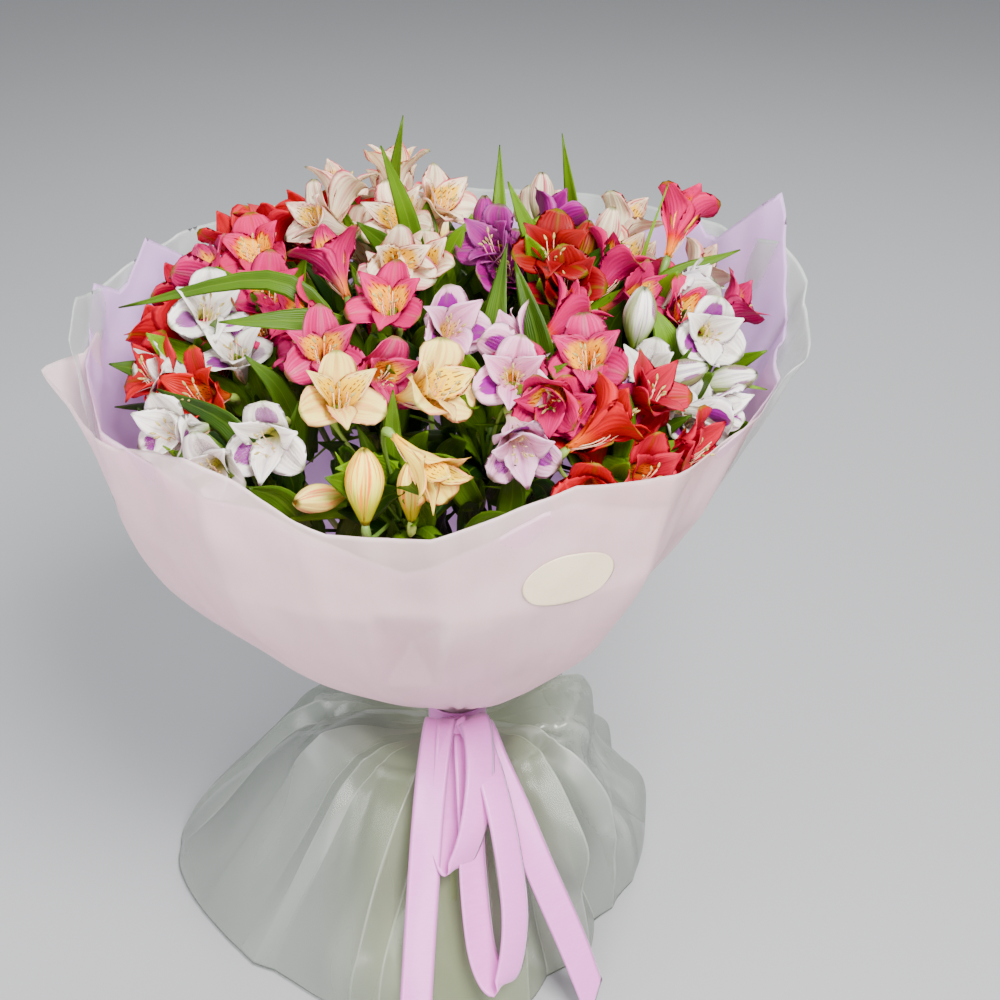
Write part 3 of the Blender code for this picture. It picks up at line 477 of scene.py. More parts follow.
def petal_finish(name, look):
    """Petal: claw to body to edge along it in flames and stripes, a golden dashed throat
    on the upper inner ones, a blotch on some of the broad ones where the flower has it,
    fine veins and a green tip. A bud is striped more, and green along its ribs and base."""
    f = Finish("petal_" + name)
    across, along, kind, chance = f.marks()
    side = (across * 2.0 - 1.0).size()
    place = f.vector(across * 3.0, along * 2.0, chance * 17.0)
    soft = f.noise(place, 2.2, 0.0)
    streaks = f.noise(f.vector(across * 16.0, along * 1.6, chance * 9.0), 1.0, 1.0)
    colour = f.mix(along.step(0.05, 0.42), look["claw"], look["body"])
    rim = (side + (soft - 0.5) * 0.7 + along * 0.5).step(0.75, 1.55)
    flame = streaks.step(0.40, 0.60) * 0.65 + 0.30
    colour = f.mix(rim * flame, colour, look["edge"])
    bud = kind.step(0.04, 0.08) * (1.0 - kind.step(0.16, 0.20))
    colour = f.mix(streaks.step(0.46, 0.66) * (bud * 0.45 + 0.34), colour, look["stripe"])
    midline = (1.0 - side.step(0.0, 0.22)) * along.step(0.25, 0.5) * (1.0 - along.step(0.86, 1.0))
    colour = f.mix(midline * 0.35, colour, look["stripe"])
    upper = kind.step(0.6, 0.9)
    reach = look["throat_size"]
    throat_edge = along + side * side * 0.22 + (soft - 0.5) * 0.16
    throat = upper * along.step(0.06, 0.2) * (1.0 - throat_edge.step(reach - 0.1, reach + 0.1))
    some = kind.step(0.2, 0.3) * (1.0 - along.step(0.3, 0.52)) * 0.6
    colour = f.mix(throat, f.mix(some, colour, look["throat"]), look["throat"])
    lines = (across * 46.0 + (soft - 0.5) * 3.0).sine().step(0.25, 0.8)
    broken = f.noise(f.vector(across * 9.0, along * 17.0, chance * 31.0), 1.0, 0.0)
    broken = broken.step(0.50, 0.58)
    dashes = lines * broken * upper * along.step(0.14, 0.26)
    dashes = dashes * (1.0 - along.step(reach + 0.02, reach + 0.2))
    colour = f.mix(dashes * 0.85, colour, look["dash"])
    spotted = 0.0
    if look["blotch"]:
        spot = ((along - 0.72) * 5.0) ** 2.0 + side * side * 3.6 + (streaks - 0.5) * 1.1
        by_chance = {"Vector": f.vector(chance * 91.0, 0.0, 0.0)}
        marked = f.node("TexWhiteNoise", by_chance, noise_dimensions="3D")
        broad = (1.0 - kind.step(0.2, 0.4)) * marked.step(0.30, 0.32)
        spotted = (1.0 - spot.step(0.66, 0.98)) * broad
        colour = f.mix(spotted * 0.97, colour, look["blotch"])
    green = along.step(0.93, 0.995) + (1.0 - side.step(0.0, 0.2)) * along.step(0.62, 0.95) * 0.45
    green = green + bud * (1.0 - side.step(0.05, 0.55)) * look["bud_stripe"]
    colour = f.mix(green.between(0.0, 1.0) * (1.0 - kind.step(0.2, 0.4)) * 0.75, colour, GREEN_TIP)
    base_green = (along + (streaks - 0.5) * 0.9).step(0.05, 0.75)
    colour = f.mix(bud * (1.0 - base_green) * 0.8, colour, BUD_GREEN)
    shade = f.node("HueSaturation", {
        "Hue": (chance - 0.5) * 0.012 + 0.5, "Saturation": chance * 0.2 + 1.0,
        "Value": (chance - 0.5) * 0.24 + 1.04, "Color": colour})
    veins = (across * 62.0).sine()
    normal = f.bump(veins, 0.22, 0.0006)
    through = tuple(min(1.0, 0.8 * b + 0.2 * e) for b, e in zip(look["body"], look["edge"]))
    glow = 0.24 - (throat * 0.20 + spotted * 0.23 + dashes * 0.04)
    return f.surface(shade, 0.50, normal, through, glow, Specular_IOR_Level=0.22)


def green_finish(name, young, old, rough):
    """Stem green along the piece, paler with its chance, with faint lengthwise ribs."""
    f = Finish(name)
    across, _, _, chance = f.marks()
    patch = f.noise(f.object_place((1.0, 1.0, 0.35)), 60.0, 3.0)
    colour = f.mix((patch * 0.6 + chance * 0.6).step(0.25, 0.95), old, young)
    ribs = (across * 50.0).sine() * 0.3 + patch
    return f.surface(colour, rough, f.bump(ribs, 0.3, 0.0005))


def leaf_finish():
    """Blade: parallel veins that darken and ridge it, a paler midrib and edge, and
    a tone that runs from deep to yellow green with its chance."""
    f = Finish("leaf")
    across, along, _, chance = f.marks()
    side = (across * 2.0 - 1.0).size()
    patch = f.noise(f.object_place(), 34.0, 1.0)
    tone = (chance * 0.95 + (patch - 0.5) * 0.35 + 0.04).step(0.0, 1.0)
    colour = f.mix(tone, tint(14, 44, 8), tint(112, 156, 0))
    veins = (across * 75.0 + (patch - 0.5) * 2.0).sine()
    colour = f.mix(veins.step(0.2, 1.0) * 0.14, colour, tint(40, 86, 20))
    colour = f.mix((1.0 - side.step(0.0, 0.09)) * 0.2, colour, tint(150, 186, 60))
    colour = f.mix(side.step(0.90, 1.0) * 0.2, colour, tint(160, 190, 60))
    colour = f.mix((1.0 - along.step(0.0, 0.2)) * 0.3, colour, tint(150, 190, 60))
    normal = f.bump(veins * 0.35 + patch * 1.6, 0.4, 0.0008)
    return f.surface(colour, 0.42, normal, tint(120, 170, 0), 0.16, Specular_IOR_Level=0.22)


def anther_finish(name, colour):
    """Pollen: fine grains, some of them darker."""
    f = Finish(name)
    grain = f.noise(f.object_place(), 900.0, 2.0)
    base = f.mix(grain.step(0.35, 0.65), tuple(0.55 * c for c in colour), colour)
    return f.surface(base, 0.7, f.bump(grain, 0.5, 0.0003))


def film_finish(name, base, through, glow, clear, rough=0.36, streak=0.04, spread=(40.0, 1.2),
                crease=0.3, side=None, middle=None, **constants):
    """Frosted film: pale and satin-smooth, part of the light passing through it, milkier
    in soft streaks along its folds, and whitened where its chance says that it is creased:
    partly stress whitening, partly a painted highlight on the fold ridges. Its cut edge is
    left less clear, a painted highlight line where it catches light. A second colour takes
    over towards the back where one is given, and a third in the middle: a painted tint of
    the stems that show through."""
    f = Finish(name)
    across, along, _, chance = f.marks()
    broad = f.noise(f.object_place(), 8.0, 0.0)
    fine = f.noise(f.vector(across * spread[0], along * spread[1], 0.0), 1.0, 0.0)
    if side is not None:
        depth = f.node("SeparateXYZ", {0: f.object_place()}, out=1)
        base = f.mix(depth.step(-0.16, 0.02), base, side)
    if middle is not None:
        # Painted see-through: the middle colour stands in for the stems seen through the film
        sideways = f.node("SeparateXYZ", {0: f.object_place()}, out=0).size()
        base = f.mix((1.0 - sideways.step(0.02, 0.13)) * 0.8, base, middle)
    milky = fine.step(0.42, 0.72)
    # Painted highlight: white mixed in where the chance marks a crease stands in for light on the fold
    # ridges, besides stress whitening
    colour = f.mix(milky * streak * 1.5 + chance * crease, base, (1.0, 1.0, 1.0))
    clearness = None
    if clear:
        # The cut edge is made less clear: a painted highlight line along the rim
        edge = along.step(0.991, 0.997)
        clearness = (broad - 0.5) * clear * 0.35 + clear - milky * streak * 1.6
        clearness = (clearness - (edge * 0.7 + chance * crease) * clear).between(0.0, 1.0)
    normal = f.bump(broad + fine * 0.12, 0.6, 0.004)
    return f.surface(colour, rough, normal, through, glow, clearness, **constants)


def satin_finish():
    """Satin ribbon: fine crosswise yarns, a soft sheen, and a woven selvedge."""
    f = Finish("satin")
    across, along, _, chance = f.marks()
    side = (across * 2.0 - 1.0).size()
    yarn = (along * 2600.0).sine()
    slub = f.noise(f.vector(across * 2.0, along * 260.0, chance * 5.0), 1.0, 2.0)
    colour = f.mix(slub.step(0.3, 0.7) * 0.35, tint(244, 144, 228), tint(234, 124, 214))
    colour = f.mix(side.step(0.93, 1.0) * 0.5, colour, tint(216, 118, 200))
    normal = f.bump(yarn * 0.3 + slub, 0.18, 0.0004)
    return f.surface(colour, 0.28, normal, translucent=tint(240, 166, 226), glow=0.14,
                     Sheen_Weight=0.5, Sheen_Roughness=0.35, Specular_IOR_Level=0.6)


def label_finish():
    """Cream paper label: fine fibres, slightly darker at its cut rim."""
    f = Finish("label")
    _, along, _, _ = f.marks()
    fibre = f.noise(f.object_place((1.0, 1.0, 3.0)), 420.0, 4.0)
    colour = f.mix(fibre.step(0.35, 0.65) * 0.3, tint(236, 216, 184), tint(222, 202, 168))
    colour = f.mix(along.step(0.955, 1.0) * 0.35, colour, tint(190, 182, 164))
    return f.surface(colour, 0.45, f.bump(fibre, 0.15, 0.0003))


def twine_finish():
    """Natural twine: twisted strands with loose fibres."""
    f = Finish("twine")
    across, along, _, _ = f.marks()
    strand = (across * 6.28 + along * 900.0).sine()
    fibre = f.noise(f.object_place(), 700.0, 3.0)
    colour = f.mix((strand * 0.3 + fibre).step(0.2, 0.9), tint(150, 118, 74), tint(204, 178, 128))
    return f.surface(colour, 0.8, f.bump(strand * 0.6 + fibre, 0.6, 0.0005))


def floor_finish(colour):
    """Matt floor with the faintest mottling."""
    f = Finish("floor")
    grain = f.noise(f.object_place(), 3.0, 2.0)
    base = f.mix(grain.step(0.3, 0.7) * 0.25, colour, tuple(0.97 * c for c in colour))
    return f.surface(base, 0.85)


# --- flowers -------------------------------------------------------------------------

PETAL_ROWS = 15
PETAL_COLUMNS = 9
PETAL_THICKNESS = 0.0005
OUTER_PETAL = (0.051, 0.029)  # length and width
INNER_PETAL = (0.054, 0.020)
FLOWER_DEPTH = 0.042  # from the mouth to the ovary
KNOB_RADII = (0.0015, 0.0032, 0.0040, 0.0040, 0.0032, 0.0012)  # of the swelling on a stem's top
BUD_OPENING = 0.25  # flowers less open than this are buds
OUTER_KIND, BUD_KIND, LOWER_KIND, UPPER_KIND = 0.0, 0.12, 0.35, 1.0
PETAL_SLOT, STALK_SLOT, FILAMENT_SLOT, ANTHER_SLOT = range(4)
GOLDEN_TURN = 2.39996  # radians
GOLDEN_DEGREES = 137.508


def petal_grid(length, width, tilts, claw, cup, ruffle, phase, pointed, start=0.0016):
    """One petal in the flower's own plane, as (outwards, sideways, upwards).

    Its centre line leaves along the axis and bends outwards, by running sums of the sine
    and cosine of its tilt. Across it, points stand at shares of the half width, raised
    towards the axis with the square of the share, with a wave that grows to the edge.
    """
    v = np.linspace(0, 1, PETAL_ROWS)[:, None]
    s = np.linspace(-1, 1, PETAL_COLUMNS)[None]
    tilt = tilts[0] + (tilts[1] - tilts[0]) * smooth(v, 0.26, 0.86) + tilts[2] * smooth(v, 0.8, 1.0)
    tilt = np.radians(tilt)
    step = length / (PETAL_ROWS - 1)
    slope = (tilt[1:] + tilt[:-1]) / 2
    out = start + np.concatenate([[[0.0]], np.cumsum(np.sin(slope), axis=0)]) * step
    up = np.concatenate([[[0.0]], np.cumsum(np.cos(slope), axis=0)]) * step
    rise = claw + (1 - claw) * smooth(v, 0.12, 0.66)
    if pointed:
        fall = 1 - smooth(v, 0.68, 1.06)
    else:
        fall = np.sqrt(np.clip(1 - ((v - 0.66) / 0.345) ** 2 * (v > 0.66), 0.0, 1))
    half = np.maximum(width / 2 * rise * fall, 0.0006)
    bend = cup * half * s**2 * (1 - 0.75 * smooth(v, 0.5, 1))
    wave = ruffle * half * np.abs(s) ** 3 * np.sin(9.5 * v + 1.3 * s + phase) * smooth(v, 0.3, 0.7)
    lift = bend + wave
    x = out - lift * np.cos(tilt)
    z = up + lift * np.sin(tilt)
    return np.stack([x, half * s + 0 * v, z + 0 * s], -1)


def flower_frame(facing):
    """Up and right of a flower, square to the way that it faces."""
    up = np.array([0.0, 0.45, 1.0]) if facing[2] < 0.97 else np.array([0.0, 1.0, 0.2])
    up = unit(up - facing * up.dot(facing))
    return up, np.cross(facing, up)


def add_petals(shape, base, facing, opening, size, rng):
    """Three broad outer petals and three narrower inner ones, the upper two streaked."""
    up, right = flower_frame(facing)
    spin = rng.normal(0, 7)
    chance, slim = rng.uniform(), rng.uniform(0.82, 1.08)
    for index in range(6):
        outer = index % 2 == 0
        turn = math.radians(index * 60 + spin + rng.normal(0, 4))
        wide = opening * rng.uniform(0.9, 1.08)
        if outer:
            length, width = OUTER_PETAL[0] * size, OUTER_PETAL[1] * size * slim
            tilts = (7 + 4 * wide, 10 + 50 * wide, 26 * wide + rng.normal(0, 18))
            grid = petal_grid(length, width, tilts, 0.20, 0.50 - 0.16 * wide, 0.30,
                              rng.uniform(0, 6), False)
            kind = OUTER_KIND
        else:
            length, width = INNER_PETAL[0] * size, INNER_PETAL[1] * size * slim
            tilts = (5 + 3 * wide, 9 + 36 * wide, 34 * wide + rng.normal(0, 12))
            grid = petal_grid(length, width, tilts, 0.17, 0.46 - 0.1 * wide, 0.24,
                              rng.uniform(0, 6), True, 0.0009)
            kind = LOWER_KIND if index == 3 else UPPER_KIND
        e = up * math.cos(turn) + right * math.sin(turn)
        t = -up * math.sin(turn) + right * math.cos(turn)
        roll = math.radians(rng.normal(0, 14))
        ramp = np.linspace(0, 1, PETAL_ROWS)[:, None] * roll
        side = grid[..., 1] * np.cos(ramp)
        place = base + facing * (grid[..., 2:] + (grid[..., 1] * np.sin(ramp))[..., None])
        place = place + e * grid[..., :1] + t * side[..., None]
        tone = min(max(chance + rng.normal(0, 0.08), 0), 1)
        shape.shell(held_in(place)[:, ::-1], PETAL_THICKNESS, PETAL_SLOT, kind, tone)


def add_stamens(shape, base, facing, opening, size, rng):
    """Six stamens and a style that droop towards the lower petal and turn up."""
    up, right = flower_frame(facing)
    t = np.linspace(0, 1, 7)[:, None]
    for index in range(7):
        turn = math.radians(index * 51.4 + rng.uniform(-15, 15))
        spread = up * math.cos(turn) + right * math.sin(turn)
        long = (0.030 + 0.010 * opening) * size * rng.uniform(0.86, 1.1)
        dip = up * (-0.011 * np.sin(2.4 * t) + 0.007 * t**3) * opening
        path = base + facing * long * t + dip + spread * (0.0014 + 0.0045 * t**2 * opening)
        shape.tube(path, 0.00034, 4, FILAMENT_SLOT, 0.0, rng.uniform())
        if index < 6:
            tip = unit(path[-1] - path[-2])
            lean = unit(spread * 0.7 + tip)
            anther = path[-1] + lean * np.linspace(-0.0004, 0.0042, 5)[:, None] * size
            radii = np.array([0.0002, 0.0007, 0.0009, 0.0007, 0.0002]) * size
            shape.tube(anther, radii, 5, ANTHER_SLOT, 0.0, rng.uniform())


def add_bud(shape, base, facing, opening, size, rng):
    """A closed bud: three broad petals wrapped to a point, as a turned profile whose
    radius swells with a sine and is ribbed three times round."""
    up, right = flower_frame(facing)
    chance = rng.uniform()
    length = (0.038 + 0.030 * opening) * size
    widest = (0.0068 + 0.012 * opening) * size
    rows, columns = 14, 9
    v = np.linspace(0, 1, rows)[:, None]
    s = np.linspace(-1, 1, columns)[None]
    for index in range(3):
        turn = math.radians(120 * index) + 1.22 * s + 0.35 * v
        radius = widest * np.sin(np.pi * np.clip(0.08 + 0.90 * v, 0, 1) ** 1.4) ** 0.9 + 0.0006
        radius = radius * (1 + 0.07 * (1 - s**2)) + 0.0004 * index
        radius = radius * (1 - 0.25 * np.abs(s) ** 3 * smooth(v, 0.1, 0.5))
        place = base + facing * (length * (v + 0 * s))[..., None]
        place = place + up * (radius * np.cos(turn))[..., None]
        place = place + right * (radius * np.sin(turn))[..., None]
        tone = min(max(chance + rng.normal(0, 0.05), 0), 1)
        shape.shell(held_in(place)[:, ::-1], PETAL_THICKNESS, PETAL_SLOT, BUD_KIND, tone)


def add_pedicel(shape, knob, base, facing, rng):
    """The flower's own stalk, from the top of the stem to the ovary below the petals: a
    thin tube that widens slowly, with a swelling like a bell curve near its end."""
    out = unit(base - knob)
    rising = unit(out + np.array([0, 0, 0.4]))
    path = bezier([knob + out * 0.002, knob + rising * 0.030, base - facing * 0.026,
                   base + facing * 0.001], 15)
    share = np.linspace(0, 1, 15)
    radii = 0.00125 + 0.0019 * np.exp(-(((share - 0.90) / 0.085) ** 2)) + 0.0004 * share
    shape.tube(held_in(path), radii, 8, STALK_SLOT, 0.0, rng.uniform())


def spray_axis(flowers):
    """Middle of a spray's flowers and the direction that its stem arrives in."""
    middle = np.mean([flower[:3] for flower in flowers], axis=0) * CM
    return middle, unit(middle - np.array([0.0, 0.0, WAIST - 0.05]))


def knob_place(flowers):
    """Top of a stem, where its flower stalks part: the reach below the flowers' middle."""
    middle, axis = spray_axis(flowers)
    return middle - axis * REACH


def side_flowers(name, rng):
    """Mouth, facing and opening of a spray's lower flowers: round its axis at the golden
    angle, a little below the others and leaning out."""
    flowers = SPRAYS[name][1]
    middle, axis = spray_axis(flowers)
    side = unit(np.cross(axis, np.array([0.2, 0.1, 1.0])))
    other = np.cross(axis, side)
    found = []
    for index in range(SIDE_FLOWERS.get(name, 3)):
        turn = GOLDEN_TURN * index + rng.uniform(0, 6.28)
        out = side * math.cos(turn) + other * math.sin(turn)
        mouth = middle + out * rng.uniform(0.030, 0.044) - axis * rng.uniform(0.016, 0.030)
        found.append((mouth, unit(out * rng.uniform(0.6, 1.1) + axis), rng.uniform(0.45, 0.9)))
    return found


def waist_slots():
    """Ring and heading at the waist for each spray: the middle one, then two rings in order."""
    knobs = [(index, knob_place(flowers)) for index, (_, flowers) in enumerate(SPRAYS.values())]
    by_reach = sorted(knobs, key=lambda item: np.hypot(item[1][0], item[1][1]))
    groups = [by_reach[:1], by_reach[1: 1 + INNER_STEMS], by_reach[1 + INNER_STEMS:]]
    slots = {}
    for ring, members in enumerate(groups):
        members.sort(key=lambda item: math.atan2(item[1][1], item[1][0]))
        first = math.degrees(math.atan2(members[0][1][1], members[0][1][0]))
        for place, (index, _) in enumerate(members):
            slots[index] = (ring, first + 360 * place / len(members) - 60)
    return slots


def stem_path(ring, turn, flowers):
    """Foot, spiral to the waist, and a bend outwards to the knob."""
    _, axis = spray_axis(flowers)
    knob = knob_place(flowers)
    up = np.array([0.0, 0.0, 1.0])
    waist = heading(turn) * ring * RING_SPACING + up * WAIST
    slope = unit(up + heading(turn + 90) * LEAN * ring / 2)
    foot = heading(turn - SPIRAL) * FOOT_RADIUS[ring]
    above = foot + up * FOOT_HEIGHT
    lower = bezier([above, above + up * STEM_REACH[0], waist - slope * STEM_REACH[1], waist], 12)
    upper = bezier([waist, waist + slope * STEM_REACH[2], knob - axis * STEM_REACH[3], knob], 20)
    return np.concatenate([[foot], lower, upper[1:]])


# --- leaves --------------------------------------------------------------------------

LEAF_ROWS = 17
LEAF_COLUMNS = 7
LEAF_THICKNESS = 0.0006
WHORL_KIND, TALL_KIND = 0.0, 1.0


def leaf_grid(points, width, roll, fold, wave, phase, stalk=0.0, face=(0.0, 0.0, 1.0)):
    """A lance-shaped blade on a smooth curve through the points.

    Its half width grows with a sine of the length past its stalk and falls to a point;
    across it the points lie on a shallow V whose arms rise with the share, turned by the
    roll, with a wave that grows to the edge.
    """
    t = np.linspace(0, 1, LEAF_ROWS)[:, None]
    path = spline(points, LEAF_ROWS)
    tangent = unit(np.gradient(path, axis=0))
    across = unit(np.cross(tangent, np.asarray(face, float)))
    normal = np.cross(across, tangent)
    turn = np.radians(roll[0] + (roll[1] - roll[0]) * t)
    cosine, sine = np.cos(turn), np.sin(turn)
    across, normal = across * cosine + normal * sine, normal * cosine - across * sine
    u = np.clip((t - stalk) / (1 - stalk), 0, 1)
    half = width / 2 * np.sin(np.pi * u**0.72) ** 0.85 * (1 - 0.12 * u)
    half = np.maximum(half, 0.0006 + 0.0010 * (1 - t))
    s = np.linspace(-1, 1, LEAF_COLUMNS)[None, :, None]
    edge = wave * half[:, None] * np.abs(s) ** 2 * np.sin(7 * t[:, None] + 1.6 * np.sign(s) + phase)
    rise = fold * half[:, None] * (np.abs(s) - 0.35) + edge
    return path[:, None] + across[:, None] * half[:, None] * s + normal[:, None] * rise


def add_whorl(shape, path, count, rng):
    """Leaves round the top of a stem, at the golden angle, leaning more and more."""
    axis = unit(path[-1] - path[-2])
    side = unit(np.cross(axis, np.array([0.1, 0.3, 0.9])))
    other = np.cross(axis, side)
    for index in range(count):
        turn = GOLDEN_TURN * index + rng.uniform(-0.3, 0.3)
        lean = math.radians(14 + 50 * index / count + rng.uniform(-6, 8))
        out = side * math.cos(turn) + other * math.sin(turn)
        base = path[-1] - axis * (0.008 + 0.0026 * index) + out * 0.0026
        length = rng.uniform(0.070, 0.108)
        tip = base + (axis * math.cos(lean) + out * math.sin(lean)) * length
        tip[2] -= 0.020 * rng.uniform(0, 1) ** 2
        bend = base + axis * length * 0.50 + out * length * 0.20
        width, roll = rng.uniform(0.015, 0.025), (rng.normal(0, 20), rng.normal(0, 50))
        grid = leaf_grid([base, bend, tip], width, roll, 0.30, 0.14, rng.uniform(0, 6),
                         face=out * 0.25 - axis)
        shape.shell(held_in(grid), LEAF_THICKNESS, 0, WHORL_KIND, rng.uniform(0.0, 0.9))


# Long leaves that stand clear among the flowers: the stem that each grows on, the heading
# and tilt of its tip, its length in centimetres, its width in millimetres, and how yellow
LONG_LEAVES = [
    ("blush_back", 300, 10, 16, 18, 0.55), ("blush_left", 180, 10, 15, 18, 0.45),
    ("violet_middle", 90, 20, 14, 17, 0.6), ("cream_back", 180, 5, 16, 15, 0.6),
    ("crimson_middle", 150, 15, 13, 19, 0.6), ("rose_right", 45, 15, 14, 4, 0.8),
    ("rose_right", 15, 45, 12, 18, 0.5), ("mauve_middle", 75, 20, 15, 27, 0.3),
    ("rose_front", 120, 20, 13, 24, 0.3), ("mauve_middle", 300, 35, 10, 22, 0.75),
    ("rose_middle", 170, 70, 20, 17, 0.4), ("rose_middle", 200, 50, 14, 24, 0.4),
    ("white_front", 150, 50, 12, 22, 0.2), ("peach_front", 230, 40, 9, 27, 0.9),
    ("peach_front", 300, 45, 10, 24, 0.8), ("scarlet_right", 285, 50, 9, 26, 0.8),
    ("white_right", 45, 50, 12, 16, 0.6), ("white_right", 345, 60, 10, 15, 0.7),
]
AMONG_LEAVES = 3


def long_leaves():
    """The long leaves, arching out: base, bend, tip, width, roll and tone of each. The
    bend is at six tenths of the length and half of the tilt."""
    rng = np.random.default_rng(55)
    found = []
    for name, turn, tilt, length, width, tone in LONG_LEAVES:
        knob = knob_place(SPRAYS[name][1])
        base = knob + direction(turn, tilt / 3) * length * CM * 0.25
        bend = knob + direction(turn, tilt / 2) * length * CM * 0.6
        tip = knob + direction(turn, tilt) * length * CM
        found.append((base, bend, tip, width / 1000, (rng.uniform(0, 20), rng.uniform(0, 50)), tone))
    return found


def among_leaves(flowers, rng):
    """Leaves that come up between a spray's flowers, round its axis at the golden angle,
    with their tips level with the flowers or a little over them."""
    middle, axis = spray_axis(flowers)
    side = unit(np.cross(axis, np.array([0.2, 0.1, 1.0])))
    other = np.cross(axis, side)
    first = rng.uniform(0, 6.28)
    found = []
    for index in range(AMONG_LEAVES):
        turn = first + GOLDEN_TURN * index
        out = side * math.cos(turn) + other * math.sin(turn)
        base = middle - axis * 0.045 + out * 0.012
        bend = middle - axis * 0.014 + out * rng.uniform(0.018, 0.030)
        tip = middle + axis * rng.uniform(-0.004, 0.014) + out * rng.uniform(0.028, 0.050)
        roll = (rng.uniform(-10, 30), rng.uniform(0, 40))
        found.append((base, bend, tip, rng.uniform(0.014, 0.026), roll, rng.uniform(0.15, 0.85)))
    return found


FILL_LEAVES = 120
DEEP_LEAVES = 48
BACK_LEAVES = 44


def dome_height(reach):
    """Height of the dome that the flowers stand on: it falls with the square of the reach."""
    return 0.60 - 0.080 * (reach / 0.24) ** 2


def fill_leaves():
    """Shorter leaves that fill the bunch: base, bend, tip, width, roll and tone of each.

    The first lie at the golden angle and evenly over the area, 6 to 10 cm under the dome
    of the flowers, rising outwards; then come deeper ones at the front, and some between
    the back flowers and the wrap.
    """
    rng = np.random.default_rng(77)
    found = []
    for index in range(FILL_LEAVES):
        reach = 0.232 * math.sqrt((index + 0.5) / FILL_LEAVES)
        out = heading(GOLDEN_DEGREES * index)
        base = out * reach * 0.94 + [0, 0, dome_height(reach) - rng.uniform(0.060, 0.095)]
        side = np.cross(out, [0, 0, 1.0]) * rng.uniform(-0.7, 0.7)
        rise = unit(out * rng.uniform(-0.1, 0.7) + side + [0, 0, rng.uniform(0.8, 1.4)])
        length = rng.uniform(0.050, 0.076)
        bend = base + rise * length * 0.55
        tip = bend + unit(rise + out * 0.5 + side * 0.6) * length * 0.5
        width, roll = rng.uniform(0.016, 0.025), (rng.uniform(-40, 40), rng.uniform(-60, 60))
        found.append((base, bend, tip, width, roll, rng.uniform(0.0, 0.75)))
    for index in range(DEEP_LEAVES + BACK_LEAVES):
        share = (index * 0.618) % 1
        if index < DEEP_LEAVES:
            out, reach = heading(232 + 76 * share), rng.uniform(0.060, 0.185)
        else:
            out, reach = heading(-50 + 280 * share), rng.uniform(0.150, 0.225)
        base = out * reach + [0, 0, dome_height(reach) - rng.uniform(0.10, 0.20)]
        rise = unit(out * rng.uniform(0.0, 0.4) + np.array([rng.uniform(-0.5, 0.5), 0, 1.0]))
        bend, tip = base + rise * 0.035, base + unit(rise + out * 0.3) * 0.068
        width, roll = rng.uniform(0.018, 0.026), (rng.uniform(-40, 40), rng.uniform(-60, 60))
        found.append((base, bend, tip, width, roll, rng.uniform(0.0, 0.3)))
    return found


# --- sheets --------------------------------------------------------------------------

# Upper edge of each sheet: its height, and its folded corners and dips, each a heading, a
# rise in metres and a width in degrees
INNER_EDGE = (0.530, [
    (25, 0.070, 15), (45, 0.035, 8), (155, 0.035, 10), (170, 0.025, 8), (265, -0.035, 20),
    (310, -0.030, 20)])
FRONT_EDGE = (0.525, [
    (160, -0.020, 15), (190, 0.010, 15), (235, 0.035, 20), (290, 0.020, 25), (360, -0.015, 15)])
CLEAR_EDGE = (0.550, [(20, 0.020, 15), (180, 0.015, 10), (200, -0.020, 15), (330, -0.010, 20)])
CREASES = np.array([-14, 12, 39, 64, 93, 121, 146, 169, 186, 209, 236, 252, 270, 306, 328, 346, 372])


def triangle_wave(x):
    """A wave of straight runs between -1 and 1."""
    return 4 * np.abs(x - np.round(x)) - 1


def crumple(u, v, seed, count, low, high):
    """Crisp facets: a sum of triangle waves that run in scattered directions, each over
    a straight line of u and v."""
    rng = np.random.default_rng(seed)
    total = 0 * u * v
    angles, rates = rng.uniform(0, np.pi, count), rng.uniform(low, high, count)
    for angle, rate, phase in zip(angles, rates, rng.uniform(0, 1, count)):
        total = total + triangle_wave((u * np.cos(angle) + v * np.sin(angle)) * rate + phase) / count
    return total


def wall_radius(turn, share, layer):
    """Radius of a sheet at a heading and a share of the height: the cup's, pulled in to
    flat panels between the creases, with faint crumples, pleats at the neck, a ripple at
    the rim, and one flap that leans out at the left."""
    radius = cup_radius(turn, np.clip(share, 0, None)) + layer * LAYER * 1.25
    slanted = (turn + 5 * np.sin(np.radians(turn) * 3 + 1) * (share - 0.7)) % 360
    after = np.clip(np.searchsorted(CREASES, slanted), 1, len(CREASES) - 1)
    first, last = CREASES[after - 1], CREASES[after]
    flat = np.cos(np.radians(last - first) / 2) / np.cos(np.radians(slanted - (first + last) / 2))
    open_up = smooth(share, 0.10, 0.5)
    radius = radius * (1 - (1 - flat) * open_up)
    u, v = np.radians(turn) * 4, share * 4
    radius = radius + 0.0060 * crumple(u, v, 5, 5, 0.15, 0.45) * open_up
    radius = radius + 0.0030 * crumple(u, v, 6, 6, 0.5, 1.2) * open_up
    aside, above = np.abs(turn - 263 - 12 * (share - 0.58)) / 6, np.abs(share - 0.60) / 0.17
    dent = np.clip(1 - np.maximum(aside, above), 0, 1)
    behind = smooth(np.sin(np.radians(turn)) + 0.3, 0, 0.5)
    radius = radius - 0.017 * dent
    rim_crumple = crumple(u, v, 8, 5, 1.2, 2.6) * smooth(share, 0.62, 0.95)
    radius = radius + (0.0014 + 0.0014 * behind) * rim_crumple
    pleats = np.sin(np.radians(turn) * 31 + 2 * np.sin(np.radians(turn) * 5))
    radius = radius + 0.0016 * pleats * smooth(share, 0.0, 0.05) * (1 - smooth(share, 0.06, 0.3))
    ripple = np.sin(np.radians(turn) * 7 + layer) + 0.6 * np.sin(np.radians(turn) * 17 + 2.0 * layer)
    radius = radius + 0.0022 * ripple * smooth(share, 0.80, 1.05)
    if layer == 1:
        gap = turn - 191
        flap = np.clip(1 - np.where(gap < 0, -gap / 6, gap / 18), 0, 1)
        radius = radius + 0.027 * flap * smooth(share, 0.78, 1.02)
    return radius


